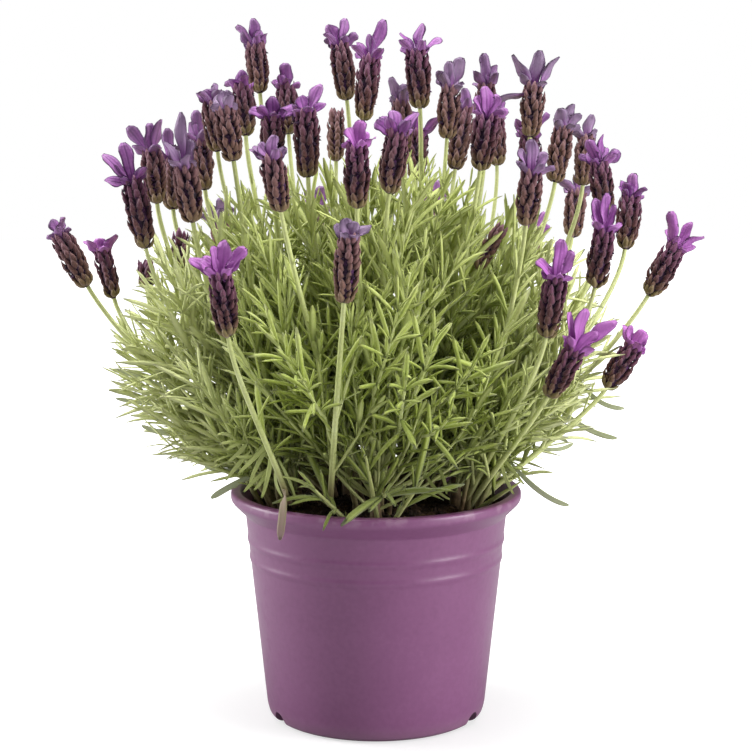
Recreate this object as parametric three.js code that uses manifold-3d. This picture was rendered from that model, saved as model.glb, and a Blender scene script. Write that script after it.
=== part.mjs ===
// A potted lavender: a tapered nursery pot filled with soil, leafy branches standing in holes in the soil,
// and a flower head seated on the end of each flowering stem. Millimetres, Z up, the pot stands on z = 0.
import * as THREE from 'three';
import { mergeVertices } from 'three/addons/utils/BufferGeometryUtils.js';
import Module from 'manifold-3d';

const wasm = await Module();
wasm.setup();

// The pot: radii and heights of its outside, and its wall
const POT_HEIGHT = 103;
const RIM_RADIUS = 65;
const MOUTH_RADIUS = 60;
const LIP_HEIGHT = 4;
const COLLAR_HEIGHT = 10.5;
const NECK_RADIUS = 58.5;
const COLLAR_FLARE = 2.5;
const LIP_ROUND = 0.6;
const WALL_FOOT_RADIUS = 49.3;
const BASE_RADIUS = 44.8;
const CORNER_HEIGHT = 5;
const CORNER_CUT = 1.5;
const WALL = 1.3;
const FLOOR = 1.8;
const FLOOR_INSET = 0.4;
const POT_SIDES = 30;
const RING_HEIGHTS = [72.6, 81];
const RING_HALF_WIDTH = 2;
const RING_DEPTH = 0.6;
const DRAIN_ANGLES = [-152, -28, 90];
const DRAIN_RADIUS = 4.8;
const DRAIN_LENGTH = 14;
const DRAIN_CENTRE_HEIGHT = 1;
const DRAIN_SIDES = 10;

// The soil and the holes that the branches stand in
const SOIL_EDGE_HEIGHT = 95;
const SOIL_EDGE_DROP = 1;
const SOIL_CROWN = 2.5;
const CRUMB_HEIGHT = 0.9;
const CRUMB_SIZE = 15;
const SOIL_RING_SHARES = [0.78, 0.52, 0.26, 0];
const HOLE_DEPTH = 26;
const HOLE_SIDES = 6;
const GAP = 0.3;

// Branches: rings of holes round the pot's axis, and the short woody trunk in each
const HOLE_RINGS = [
  { count: 3, radius: 15, turn: 30 },
  { count: 5, radius: 37, turn: -90 },
];
const HOLE_REACH = 0.36;
const TRUNK_RADIUS = 3;
const TRUNK_TOP_RADIUS = 1.9;
const TRUNK_RISE = 20;
const LOWEST_FORK = 3;

// Stems, leaves and flower heads
const STEM_RADIUS = 1.25;
const STEM_END_RADIUS = 0.85;
const STEM_STEPS = 4;
const STEM_TRIES = 80;
const BOW_STEP = 0.004;
const STEM_STEEPNESS = 0.15;
const SHOOT_COUNT = 30;
const LEAF_LENGTH = 27;
const LEAF_HALF_WIDTH = 1.45;
const LEAF_WIDEST = 0.32;
const LEAVES_ON_FLOWER_STEM = 3;
const LEAVES_ON_SHOOT = 6;
const LEAF_DROOP = 0.12;
const LEAF_SPREAD = THREE.MathUtils.degToRad(43);
const LEAF_TRIES = 16;
const LEAF_CHECKS = 5;
const LOWEST_LEAF_SHARE = 0.32;
const TOP_LEAF_SHARE = 0.8;
const LOWEST_LEAF = 73;
const GOLDEN_ANGLE = THREE.MathUtils.degToRad(137.508);
const SHOOT_SHORTEN = 0.14;
const SHOOT_RISE = 0.75;
const DOME_FLOOR = 112;
const DOME_RADIUS = 104;
const DOME_HEIGHT = 122;
const SPIKE_RADIUS = 5;
const SPIKE_RELIEF = 0.13;
const SPIKE_TRIES = 24;
const DEPTH_STEP = 2.5;
const SHORTEST_SPIKE = 21;
const SPIKE_SIDES = 6;
const SPIKE_STEPS = 5;
const EAR_HALF_WIDTH = 2.3;
const EAR_WIDEST = 0.6;
const BLADE_HALF_THICKNESS = 0.55;
const EAR_TRIES = 14;
const EAR_LEAST_LENGTH = 9;
const EAR_ARCH = 1.2;
const EAR_SINK = 2;
const DEPTH_LEAN = 1.06;
const CLEARANCE = 0.45;
const SEED = 13;

// The view that the flower heads were read in: a pinhole camera in front of the pot, its focal length and
// the picture's centre in pixels
const VIEW_DISTANCE = 900;
const VIEW_HEIGHT = 293;
const VIEW_PITCH = THREE.MathUtils.degToRad(8.8);
const VIEW_FOCAL = 2047;
const VIEW_CENTRE = 376;

// Each flower head: where its spike's foot and top and the tips of its ears show in that view, in pixels,
// and how far behind the pot's axis it stands, in millimetres. A bud has no ears, and size scales the girth.
const HEADS = [
  { foot: [88, 287], top: [61, 238], depth: 0, ears: [[52, 219], [61, 217]] },
  { foot: [113, 295], top: [103, 254], depth: 20, size: 0.75, ears: [[100, 238]] },
  { foot: [147, 290], top: [146, 266], depth: 30, size: 0.6, bud: true, ears: [] },
  { foot: [182, 270], top: [181, 236], depth: 30, size: 0.72, bud: true, ears: [] },
  { foot: [146, 249], top: [133, 182], depth: -20, size: 1.08, ears: [[102, 155], [126, 142], [104, 183]] },
  { foot: [157, 204], top: [152, 155], depth: 15, ears: [[151, 123], [160, 119], [127, 127]] },
  { foot: [193, 223], top: [185, 170], depth: -30, size: 1.1, ears: [[164, 141], [180, 112], [193, 140]] },
  { foot: [173, 210], top: [170, 162], depth: 50, ears: [[168, 128]] },
  { foot: [205, 190], top: [200, 145], depth: 40, ears: [[197, 110], [190, 122]] },
  { foot: [217, 146], top: [213, 104], depth: -2, ears: [[214, 86], [207, 92]] },
  { foot: [233, 157], top: [226, 112], depth: -35, ears: [[219, 92], [228, 90]] },
  { foot: [245, 124], top: [243, 90], depth: 35, ears: [[240, 70], [234, 83]] },
  { foot: [260, 94], top: [256, 48], depth: 60, ears: [[254, 18], [236, 26], [261, 30]] },
  { foot: [288, 124], top: [286, 90], depth: 55, ears: [[287, 63], [280, 74]] },
  { foot: [272, 164], top: [273, 120], depth: -20, size: 1.05, ears: [[251, 107], [273, 96], [297, 105]] },
  { foot: [281, 212], top: [272, 161], depth: -65, ears: [[257, 145], [270, 135], [285, 146]] },
  { foot: [308, 178], top: [306, 115], depth: -25, size: 1.12, ears: [[321, 84], [298, 97]] },
  { foot: [336, 162], top: [336, 116], depth: 70, size: 0.7, bud: true, ears: [] },
  { foot: [347, 101], top: [340, 48], depth: 10, ears: [[327, 25], [344, 18], [357, 34]] },
  { foot: [363, 121], top: [370, 62], depth: 30, ears: [[383, 19], [369, 34]] },
  { foot: [357, 209], top: [357, 150], depth: -60, ears: [[350, 127], [361, 120], [369, 133]] },
  { foot: [420, 109], top: [417, 54], depth: -10, size: 1.06, ears: [[401, 32], [421, 23], [442, 39]] },
  { foot: [404, 150], top: [401, 106], depth: 45, size: 0.9, ears: [[391, 77], [405, 84]] },
  { foot: [389, 194], top: [397, 136], depth: -45, size: 1.05, ears: [[375, 122], [393, 110], [418, 112]] },
  { foot: [416, 180], top: [418, 136], depth: 65, size: 0.95, ears: [[442, 121], [410, 112]] },
  { foot: [447, 138], top: [450, 92], depth: 30, ears: [[437, 71], [449, 61], [461, 57]] },
  { foot: [480, 171], top: [487, 118], depth: -25, size: 1.08, ears: [[476, 96], [487, 86], [499, 95]] },
  { foot: [486, 130], top: [486, 88], depth: 38, size: 0.9, ears: [[485, 53], [495, 64]] },
  { foot: [455, 170], top: [464, 112], depth: 62, size: 0.95, ears: [[466, 88]] },
  { foot: [497, 166], top: [495, 122], depth: 84, size: 0.95, ears: [[503, 100]] },
  { foot: [530, 138], top: [534, 90], depth: 20, ears: [[512, 55], [537, 50], [560, 57], [497, 103]] },
  { foot: [530, 184], top: [530, 140], depth: 58, ears: [[514, 120], [548, 113]] },
  { foot: [526, 225], top: [531, 176], depth: -50, ears: [[521, 148], [534, 139], [546, 152]] },
  { foot: [555, 183], top: [563, 132], depth: 40, ears: [[570, 103], [580, 113], [560, 108]] },
  { foot: [583, 182], top: [586, 141], depth: 52, size: 0.9, ears: [[590, 114]] },
  { foot: [604, 206], top: [600, 166], depth: 0, ears: [[589, 139], [601, 134], [619, 150]] },
  { foot: [595, 288], top: [604, 234], depth: -35, ears: [[593, 199], [605, 193], [616, 205]] },
  { foot: [572, 238], top: [577, 195], depth: 78, ears: [[583, 172]] },
  { foot: [625, 250], top: [631, 200], depth: 30, ears: [[632, 173], [625, 182]] },
  { foot: [648, 296], top: [674, 251], depth: 0, ears: [[672, 211], [690, 221], [704, 236]] },
  { foot: [546, 338], top: [556, 280], depth: -60, ears: [[562, 239], [573, 251], [539, 258]] },
  { foot: [548, 397], top: [574, 353], depth: -50, ears: [[569, 312], [583, 308], [596, 330], [614, 318]] },
  { foot: [608, 386], top: [632, 349], depth: -10, ears: [[645, 331], [648, 336]] },
  { foot: [476, 270], top: [500, 230], depth: -12, size: 0.55, bud: true, ears: [] },
  { foot: [228, 337], top: [221, 277], depth: -85, ears: [[189, 259], [210, 247], [226, 240], [244, 246]] },
  { foot: [344, 303], top: [349, 240], depth: -88, ears: [[345, 218], [354, 221]] },
  { foot: [228, 272], top: [220, 226], depth: 98, ears: [[208, 204], [220, 198], [232, 207]] },
  { foot: [322, 262], top: [318, 212], depth: 116, ears: [[306, 190], [321, 186]] },
  { foot: [430, 258], top: [434, 208], depth: 118, ears: [[424, 186], [437, 180], [449, 190]] },
  { foot: [524, 280], top: [532, 234], depth: 100, ears: [[526, 208], [545, 212]] },
];

const COLOURS = { pot: 0x8a4f84, soil: 0x1e140c, leaf: 0x8a9c52, head: 0x5c2b62 };

// A seeded generator of numbers from 0 to 1
function seeded(seed) {
  let state = seed >>> 0;
  return () => {
    state = (state + 0x6d2b79f5) >>> 0;
    let t = state;
    t = Math.imul(t ^ (t >>> 15), t | 1);
    t ^= t + Math.imul(t ^ (t >>> 7), t | 61);
    return ((t ^ (t >>> 14)) >>> 0) / 4294967296;
  };
}

const vec = (x, y, z) => new THREE.Vector3(x, y, z);
const UP = vec(0, 0, 1);

// The point at a given depth behind the pot's axis that shows at a pixel of the view
function fromView([px, py], depth) {
  const across = (px - VIEW_CENTRE) / VIEW_FOCAL;
  const rise = (VIEW_CENTRE - py) / VIEW_FOCAL;
  const sin = Math.sin(VIEW_PITCH);
  const cos = Math.cos(VIEW_PITCH);
  const y = depth + VIEW_DISTANCE;
  const z = (y * (rise * cos - sin)) / (cos + rise * sin);
  return vec(across * (y * cos - z * sin), depth, z + VIEW_HEIGHT);
}

// Solids: a three.js geometry becomes a manifold body, and back
function solidOf(geometry) {
  const bare = geometry.clone();
  bare.deleteAttribute('normal');
  bare.deleteAttribute('uv');
  const merged = mergeVertices(bare, 1e-4);
  const mesh = new wasm.Mesh({
    numProp: 3,
    vertProperties: new Float32Array(merged.attributes.position.array),
    triVerts: new Uint32Array(merged.index.array),
  });
  return new wasm.Manifold(mesh);
}

function geometryOf(solid) {
  const mesh = solid.getMesh();
  const geometry = new THREE.BufferGeometry();
  geometry.setAttribute('position', new THREE.BufferAttribute(new Float32Array(mesh.vertProperties), 3));
  geometry.setIndex(new THREE.BufferAttribute(new Uint32Array(mesh.triVerts), 1));
  geometry.computeVertexNormals();
  return geometry;
}

function joined(solids) {
  return solids.reduce((whole, solid) => whole.add(solid));
}

// A closed body along a curve. girth(t, angle) gives the half-width and half-thickness of its section at t,
// and across is the direction that its width keeps to. A pointed body ends in a single vertex.
function sweep(curve, { sides, steps, across, girth, pointed = false }) {
  const geometry = new THREE.CylinderGeometry(pointed ? 0 : 1, 1, 1, sides, steps);
  const position = geometry.attributes.position;
  for (let i = 0; i < position.count; i += 1) {
    const t = position.getY(i) + 0.5;
    const reach = Math.hypot(position.getX(i), position.getZ(i));
    const angle = Math.atan2(position.getX(i), position.getZ(i));
    const onRim = reach > 1e-6 ? 1 : 0;
    const tangent = curve.getTangent(t);
    const side = across.clone().addScaledVector(tangent, -across.dot(tangent)).normalize();
    const front = side.clone().cross(tangent);
    const [halfWidth, halfThickness] = girth(t, angle);
    const at = curve.getPoint(t);
    at.addScaledVector(side, Math.sin(angle) * halfWidth * onRim);
    at.addScaledVector(front, Math.cos(angle) * halfThickness * onRim);
    position.setXYZ(i, at.x, at.y, at.z);
  }
  return geometry;
}

// A keeled blade, pointed at its sunk root and at its tip, and widest at a share of its length. Its spine
// has two straight stretches, from the root to the widest place and on to the tip.
class BladeSpine extends THREE.Curve {
  constructor(curve, widest) {
    super();
    this.corners = [curve.getPoint(0), curve.getPoint(widest), curve.getPoint(1)];
  }

  getPoint(t) {
    return this.corners[Math.round(t * 2)].clone();
  }

  getTangent() {
    return this.corners[2].clone().sub(this.corners[0]).normalize();
  }
}

function blade(curve, across, halfWidth, widest) {
  return sweep(new BladeSpine(curve, widest), {
    sides: 3,
    steps: 2,
    pointed: true,
    across,
    girth: (t) => (t > 0 ? [halfWidth, BLADE_HALF_THICKNESS] : [0, 0]),
  });
}

// A turned body round the Z axis from its profile of [radius, height] points
function turned(profile) {
  const points = profile.map(([radius, height]) => new THREE.Vector2(radius, height));
  return new THREE.LatheGeometry(points, POT_SIDES).rotateX(Math.PI / 2);
}

// The pot's wall radius at a height, outside or inside
function wallRadius(height) {
  const neck = POT_HEIGHT - COLLAR_HEIGHT;
  return THREE.MathUtils.mapLinear(height, CORNER_HEIGHT, neck, WALL_FOOT_RADIUS, NECK_RADIUS);
}

function potSolid() {
  const neck = POT_HEIGHT - COLLAR_HEIGHT;
  const lip = POT_HEIGHT - LIP_HEIGHT;
  const rings = RING_HEIGHTS.flatMap((height) => [
    [wallRadius(height - RING_HALF_WIDTH), height - RING_HALF_WIDTH],
    [wallRadius(height) + RING_DEPTH, height],
    [wallRadius(height + RING_HALF_WIDTH), height + RING_HALF_WIDTH],
  ]);
  const body = solidOf(turned([
    [0, 0],
    [BASE_RADIUS, 0],
    [WALL_FOOT_RADIUS - CORNER_CUT, CORNER_HEIGHT * 0.3],
    [WALL_FOOT_RADIUS, CORNER_HEIGHT],
    ...rings,
    [NECK_RADIUS, neck],
    [NECK_RADIUS + COLLAR_FLARE, neck + COLLAR_FLARE],
    [RIM_RADIUS - LIP_ROUND, lip - LIP_ROUND],
    [RIM_RADIUS, lip + LIP_ROUND],
    [RIM_RADIUS - LIP_ROUND, POT_HEIGHT - LIP_ROUND],
    [RIM_RADIUS - 3 * LIP_ROUND, POT_HEIGHT],
    [MOUTH_RADIUS, POT_HEIGHT],
    [NECK_RADIUS - WALL, neck],
    [WALL_FOOT_RADIUS - WALL, CORNER_HEIGHT],
    [BASE_RADIUS - FLOOR_INSET, FLOOR],
    [0, FLOOR],
  ]));
  return DRAIN_ANGLES.reduce((pot, angle) => {
    const notch = new THREE.CylinderGeometry(DRAIN_RADIUS, DRAIN_RADIUS, DRAIN_LENGTH, DRAIN_SIDES);
    notch.rotateZ(Math.PI / 2).translate(BASE_RADIUS, 0, DRAIN_CENTRE_HEIGHT);
    notch.rotateZ(THREE.MathUtils.degToRad(angle));
    return pot.subtract(solidOf(notch));
  }, body);
}

// Height of the soil's surface: a low crown with crumbs as crossed waves, which fade out at the pot's wall
function soilHeight(x, y) {
  const edge = wallRadius(SOIL_EDGE_HEIGHT) - WALL;
  const fall = 1 - (x * x + y * y) / (edge * edge);
  const wave = (2 * Math.PI) / CRUMB_SIZE;
  const crumbs = Math.sin(x * wave + 1) * Math.cos(y * wave) + 0.6 * Math.sin((x + y) * wave * 2);
  return SOIL_EDGE_HEIGHT + SOIL_CROWN * fall + CRUMB_HEIGHT * crumbs * Math.min(1, 6 * fall);
}

function soilSolid(holes) {
  const fit = WALL + GAP;
  const edge = NECK_RADIUS - fit - SOIL_EDGE_DROP;
  const ground = turned([
    [0, FLOOR + GAP],
    [BASE_RADIUS - FLOOR_INSET - GAP, FLOOR + GAP],
    [WALL_FOOT_RADIUS - fit, CORNER_HEIGHT + GAP],
    [edge, SOIL_EDGE_HEIGHT - SOIL_EDGE_DROP],
    ...SOIL_RING_SHARES.map((share) => [edge * share, SOIL_EDGE_HEIGHT]),
  ]);
  const position = ground.attributes.position;
  for (let i = 0; i < position.count; i += 1) {
    if (position.getZ(i) > SOIL_EDGE_HEIGHT - GAP) {
      position.setZ(i, soilHeight(position.getX(i), position.getY(i)));
    }
  }
  return holes.reduce((soil, hole) => {
    const radius = (TRUNK_RADIUS + GAP) / Math.cos(Math.PI / HOLE_SIDES);
    const drill = new THREE.CylinderGeometry(radius, radius, HOLE_DEPTH * 2, HOLE_SIDES);
    drill.rotateX(Math.PI / 2).translate(hole.x, hole.y, SOIL_EDGE_HEIGHT);
    return soil.subtract(solidOf(drill));
  }, solidOf(ground));
}

// Places already taken, as capsules: two ends, a radius and names. Capsules that share a name may touch.
const taken = [];

function isClear(capsules) {
  return capsules.every((one) => taken.every((other) => {
    if (one.names.some((name) => other.names.includes(name))) {
      return true;
    }
    return segmentDistance(one.a, one.b, other.a, other.b) > one.r + other.r + CLEARANCE;
  }));
}

// Shortest distance between two segments
function segmentDistance(p1, q1, p2, q2) {
  const d1 = q1.clone().sub(p1);
  const d2 = q2.clone().sub(p2);
  const r = p1.clone().sub(p2);
  const a = d1.dot(d1);
  const e = d2.dot(d2);
  const f = d2.dot(r);
  const c = d1.dot(r);
  const b = d1.dot(d2);
  const denominator = a * e - b * b;
  const clamp = (value) => Math.min(1, Math.max(0, value));
  let s = denominator > 1e-9 ? clamp((b * f - c * e) / denominator) : 0;
  let t = (b * s + f) / e;
  if (t < 0) {
    t = 0;
    s = clamp(-c / a);
  } else if (t > 1) {
    t = 1;
    s = clamp((b - c) / a);
  }
  return p1.clone().addScaledVector(d1, s).distanceTo(p2.clone().addScaledVector(d2, t));
}

function capsulesAlong(curve, count, radius, names) {
  const points = curve.getPoints(count);
  return points.slice(1).map((b, i) => ({ a: points[i], b, r: radius, names: [...names] }));
}

// The first of several tries that is clear of what is already there, or null
function firstClear(tries, make) {
  for (let i = 0; i < tries; i += 1) {
    const made = make(i);
    if (made.capsules && isClear(made.capsules)) {
      taken.push(...made.capsules);
      return made;
    }
  }
  return null;
}

// 0, 1, -1, 2, -2 and so on
const swing = (i) => (i % 2 ? 1 : -1) * Math.ceil(i / 2);

// Flower spikes first: a spike that would touch another moves nearer or farther along its line of sight
function placeSpike(head, index) {
  const name = `flower_head_${String(index + 1).padStart(2, '0')}`;
  const radius = SPIKE_RADIUS * (head.size ?? 1);
  const placed = firstClear(SPIKE_TRIES, (i) => {
    const depth = head.depth + swing(i) * DEPTH_STEP;
    const foot = fromView(head.foot, depth);
    const top = fromView(head.top, depth * DEPTH_LEAN);
    const axis = top.clone().sub(foot).normalize();
    const length = Math.max(foot.distanceTo(top), head.bud ? 0 : SHORTEST_SPIKE);
    foot.copy(top).addScaledVector(axis, -length);
    const reach = radius * (1 + SPIKE_RELIEF);
    return { foot, top, axis, depth, capsules: [{ a: foot, b: top, r: reach, names: [name] }] };
  });
  return { ...placed, name, radius, earTips: head.ears };
}

// Ears are the long bracts on top of a spike. One that would touch another head leans to the front or back.
function placeEars(head) {
  const root = head.top.clone().addScaledVector(head.axis, -EAR_SINK);
  const ears = head.earTips.map((pixel) => firstClear(EAR_TRIES, (i) => {
    const reach = fromView(pixel, head.depth * DEPTH_LEAN + swing(i) * DEPTH_STEP).sub(root);
    reach.setLength(Math.max(EAR_LEAST_LENGTH, reach.length()));
    const tip = root.clone().add(reach);
    const outward = reach.clone().addScaledVector(head.axis, -reach.dot(head.axis));
    const elbow = root.clone().lerp(tip, 0.5).addScaledVector(head.axis, EAR_ARCH);
    const curve = new THREE.QuadraticBezierCurve3(root, elbow, tip);
    return { curve, outward, capsules: capsulesAlong(curve, 2, EAR_HALF_WIDTH, [head.name]) };
  }));
  return ears.filter(Boolean);
}

function headSolid(head) {
  const spine = new THREE.LineCurve3(head.foot, head.top);
  const spike = sweep(spine, {
    sides: SPIKE_SIDES,
    steps: SPIKE_STEPS,
    across: vec(1, 0, 0),
    girth: (t, angle) => {
      const row = Math.round(t * SPIKE_STEPS);
      const barrel = Math.min(0.42 + 2.6 * t, 1) * Math.min(0.5 + 2.2 * (1 - t), 1);
      const bulge = 1 + SPIKE_RELIEF * Math.cos(angle * (SPIKE_SIDES / 2) + row * Math.PI);
      const radius = head.radius * barrel * bulge;
      return [radius, radius];
    },
  });
  const ears = head.ears.map(({ curve, outward }) => {
    const across = outward.clone().cross(head.axis);
    return blade(curve, across, EAR_HALF_WIDTH, EAR_WIDEST);
  });
  return joined([spike, ...ears].map(solidOf));
}

// Branches stand in holes, and each stem belongs to the branch on its own side of the pot
function makeBranches() {
  return HOLE_RINGS.flatMap(({ count, radius, turn }) => Array.from({ length: count }, (_, i) => {
    const angle = THREE.MathUtils.degToRad(turn + (360 * i) / count);
    return vec(radius * Math.cos(angle), radius * Math.sin(angle), 0);
  })).map((hole, i) => {
    hole.z = soilHeight(hole.x, hole.y);
    return { name: `leafy_branch_${i + 1}`, hole, stems: [], leaves: [] };
  });
}

function branchFor(branches, point) {
  const distance = ({ hole }) => Math.hypot(hole.x - point.x * HOLE_REACH, hole.y - point.y * HOLE_REACH);
  return branches.reduce((best, branch) => (distance(branch) < distance(best) ? branch : best));
}

// A stem leaves its trunk steeply and arrives along the direction it ends in. Each further try bows it
// more, to another side.
function stemCurve(branch, lift, end, axis, tryNumber) {
  const start = branch.hole.clone().addScaledVector(UP, lift);
  const chord = end.clone().sub(start);
  const length = chord.length();
  const side = chord.clone().cross(UP).normalize();
  const angle = tryNumber * GOLDEN_ANGLE;
  const bow = side.multiplyScalar(Math.cos(angle)).addScaledVector(UP, 0.5 * Math.sin(angle));
  bow.multiplyScalar(tryNumber * BOW_STEP * length);
  const leave = chord.clone().normalize().lerp(UP, STEM_STEEPNESS).normalize();
  const first = start.clone().addScaledVector(leave, length * 0.33).add(bow);
  const second = end.clone().addScaledVector(axis, -length * 0.34).addScaledVector(bow, 0.25);
  return new THREE.CubicBezierCurve3(start, first, second, end);
}

// A point clear of the soil, and of the pot's rim and side
function isAboveGround(point) {
  const radius = Math.hypot(point.x, point.y);
  if (radius > RIM_RADIUS + LEAF_HALF_WIDTH * 2) {
    return point.z > LOWEST_LEAF;
  }
  const overRim = radius > MOUTH_RADIUS - LEAF_HALF_WIDTH * 3;
  return point.z > (overRim ? POT_HEIGHT : soilHeight(point.x, point.y)) + LEAF_HALF_WIDTH;
}

function placeStem(branches, end, axis, head) {
  const branch = branchFor(branches, end);
  const count = branch.stems.length;
  const name = `${branch.name}_stem_${count + 1}`;
  const lift = LOWEST_FORK + ((count * 5) % (TRUNK_RISE - LOWEST_FORK));
  const stem = firstClear(STEM_TRIES, (i) => {
    const curve = stemCurve(branch, lift, end, axis, i);
    const capsules = capsulesAlong(curve, STEM_STEPS, STEM_RADIUS, [branch.name, name]);
    if (head) {
      capsules[STEM_STEPS - 1].names.push(head.name);
    }
    return { name, curve, capsules, flowering: Boolean(head) };
  });
  if (stem) {
    branch.stems.push(stem);
  }
}

// Shoots without flowers spread evenly over a dome, by the golden angle
function placeShoot(branches, index, random) {
  const angle = index * GOLDEN_ANGLE;
  const height = (index + 0.5) / SHOOT_COUNT;
  const share = 1 - SHOOT_SHORTEN * random();
  const spread = Math.sqrt(1 - height * height) * DOME_RADIUS * share;
  const top = DOME_FLOOR + height * DOME_HEIGHT * share;
  const end = vec(spread * Math.cos(angle), spread * Math.sin(angle), top);
  const axis = vec(end.x / DOME_RADIUS, end.y / DOME_RADIUS, SHOOT_RISE).normalize();
  placeStem(branches, end, axis, null);
}

// Leaves stand out round a stem by the golden angle. A leaf that would touch something turns, and shortens.
function placeLeaves(branch, stem, random) {
  const count = stem.flowering ? LEAVES_ON_FLOWER_STEM : LEAVES_ON_SHOOT;
  const to = stem.flowering ? TOP_LEAF_SHARE : 1;
  const spacing = (to - LOWEST_LEAF_SHARE) / count;
  for (let k = 0; k < count; k += 1) {
    const t = LOWEST_LEAF_SHARE + spacing * (k + 0.3 + 0.4 * random());
    const start = (k + random()) * GOLDEN_ANGLE;
    const length = LEAF_LENGTH * (0.8 + 0.4 * random());
    const leaf = firstClear(LEAF_TRIES, (i) => {
      const shorter = length * (1 - 0.4 * (i / LEAF_TRIES));
      return leafAt(stem, t, start + i, shorter);
    });
    if (leaf) {
      branch.leaves.push(leaf);
    }
  }
}

// A point on a stem as its straight stretches run, and the direction there
function onStem(stem, t) {
  const step = Math.min(Math.floor(t * STEM_STEPS), STEM_STEPS - 1);
  const { a, b } = stem.capsules[step];
  return [a.clone().lerp(b, t * STEM_STEPS - step), b.clone().sub(a).normalize()];
}

function leafAt(stem, t, turn, length) {
  const [root, along] = onStem(stem, t);
  const side = along.clone().cross(UP).normalize();
  const out = side.clone().multiplyScalar(Math.cos(turn));
  out.addScaledVector(side.clone().cross(along), Math.sin(turn));
  const reach = along.clone().multiplyScalar(Math.cos(LEAF_SPREAD));
  reach.addScaledVector(out, Math.sin(LEAF_SPREAD));
  root.addScaledVector(reach, -STEM_END_RADIUS * 0.8);
  const elbow = root.clone().addScaledVector(reach, length * 0.5);
  const tip = root.clone().addScaledVector(reach, length).addScaledVector(UP, -length * LEAF_DROOP);
  const curve = new THREE.QuadraticBezierCurve3(root, elbow, tip);
  const capsules = capsulesAlong(curve, 2, LEAF_HALF_WIDTH, [stem.name]);
  const clear = curve.getPoints(LEAF_CHECKS).slice(1).every(isAboveGround);
  return { curve, capsules: clear ? capsules : null, across: out.cross(along) };
}

function branchSolid(branch) {
  const bottom = branch.hole.clone().setZ(SOIL_EDGE_HEIGHT - HOLE_DEPTH + GAP);
  const top = branch.hole.clone().addScaledVector(UP, TRUNK_RISE);
  const trunk = sweep(new THREE.LineCurve3(bottom, top), {
    sides: HOLE_SIDES,
    steps: 1,
    across: vec(1, 0, 0),
    girth: (t) => Array(2).fill(THREE.MathUtils.lerp(TRUNK_RADIUS, TRUNK_TOP_RADIUS, t)),
  });
  const stems = branch.stems.map(({ curve, flowering }) => sweep(curve, {
    sides: 3,
    steps: STEM_STEPS,
    pointed: !flowering,
    across: curve.getTangent(0.5).cross(UP).normalize(),
    girth: (t) => Array(2).fill(THREE.MathUtils.lerp(STEM_RADIUS, STEM_END_RADIUS, t)),
  }));
  const leaves = branch.leaves.map(({ curve, across }) => blade(curve, across, LEAF_HALF_WIDTH, LEAF_WIDEST));
  return joined([trunk, ...stems, ...leaves].map(solidOf));
}

function meshOf(name, solid, colour, roughness) {
  const mesh = new THREE.Mesh(
    geometryOf(solid),
    new THREE.MeshStandardMaterial({ color: colour, roughness, metalness: 0 }),
  );
  mesh.name = name;
  return mesh;
}

function lavender() {
  const random = seeded(SEED);
  const heads = HEADS.map(placeSpike);
  heads.forEach((head) => {
    head.ears = placeEars(head);
  });
  const branches = makeBranches();
  heads.forEach((head) => {
    const end = head.foot.clone().addScaledVector(head.axis, -GAP);
    placeStem(branches, end, head.axis, head);
  });
  for (let i = 0; i < SHOOT_COUNT; i += 1) {
    placeShoot(branches, i, random);
  }
  branches.forEach((branch) => branch.stems.forEach((stem) => placeLeaves(branch, stem, random)));

  const plant = new THREE.Group();
  plant.add(meshOf('pot', potSolid(), COLOURS.pot, 0.45));
  plant.add(meshOf('soil', soilSolid(branches.map(({ hole }) => hole)), COLOURS.soil, 0.95));
  branches.forEach((branch) => plant.add(meshOf(branch.name, branchSolid(branch), COLOURS.leaf, 0.7)));
  heads.forEach((head) => plant.add(meshOf(head.name, headSolid(head), COLOURS.head, 0.8)));
  return plant;
}

export default lavender();
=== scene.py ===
# The looks of a potted lavender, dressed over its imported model: a moulded plastic pot, crumbly soil,
# leafy stems, and dark flower spikes topped by violet bracts. Lengths are in millimetres, and MM makes
# them metres.
import math
import random

import bmesh
import bpy
import numpy as np
from mathutils import Matrix, Vector, noise
from mathutils.bvhtree import BVHTree


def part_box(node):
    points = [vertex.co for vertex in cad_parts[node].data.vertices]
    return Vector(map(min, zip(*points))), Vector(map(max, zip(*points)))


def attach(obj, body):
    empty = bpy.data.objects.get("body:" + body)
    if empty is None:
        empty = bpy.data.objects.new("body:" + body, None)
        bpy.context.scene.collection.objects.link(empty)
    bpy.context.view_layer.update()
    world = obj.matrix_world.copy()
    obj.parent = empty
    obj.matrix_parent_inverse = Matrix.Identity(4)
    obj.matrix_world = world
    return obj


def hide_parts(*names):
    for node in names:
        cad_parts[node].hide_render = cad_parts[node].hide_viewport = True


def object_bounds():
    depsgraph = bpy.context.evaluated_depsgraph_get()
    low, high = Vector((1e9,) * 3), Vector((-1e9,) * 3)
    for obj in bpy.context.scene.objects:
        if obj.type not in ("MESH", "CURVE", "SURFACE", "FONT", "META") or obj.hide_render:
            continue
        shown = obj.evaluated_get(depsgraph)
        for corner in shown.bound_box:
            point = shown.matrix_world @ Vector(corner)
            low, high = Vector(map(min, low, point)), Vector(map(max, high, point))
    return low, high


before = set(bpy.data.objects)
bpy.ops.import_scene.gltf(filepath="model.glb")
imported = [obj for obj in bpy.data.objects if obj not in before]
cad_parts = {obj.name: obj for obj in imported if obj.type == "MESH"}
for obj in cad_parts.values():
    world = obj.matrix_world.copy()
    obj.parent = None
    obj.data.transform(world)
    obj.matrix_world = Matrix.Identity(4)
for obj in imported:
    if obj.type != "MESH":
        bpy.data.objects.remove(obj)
CAD_LOW, CAD_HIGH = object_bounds()
MM = 0.001

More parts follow.
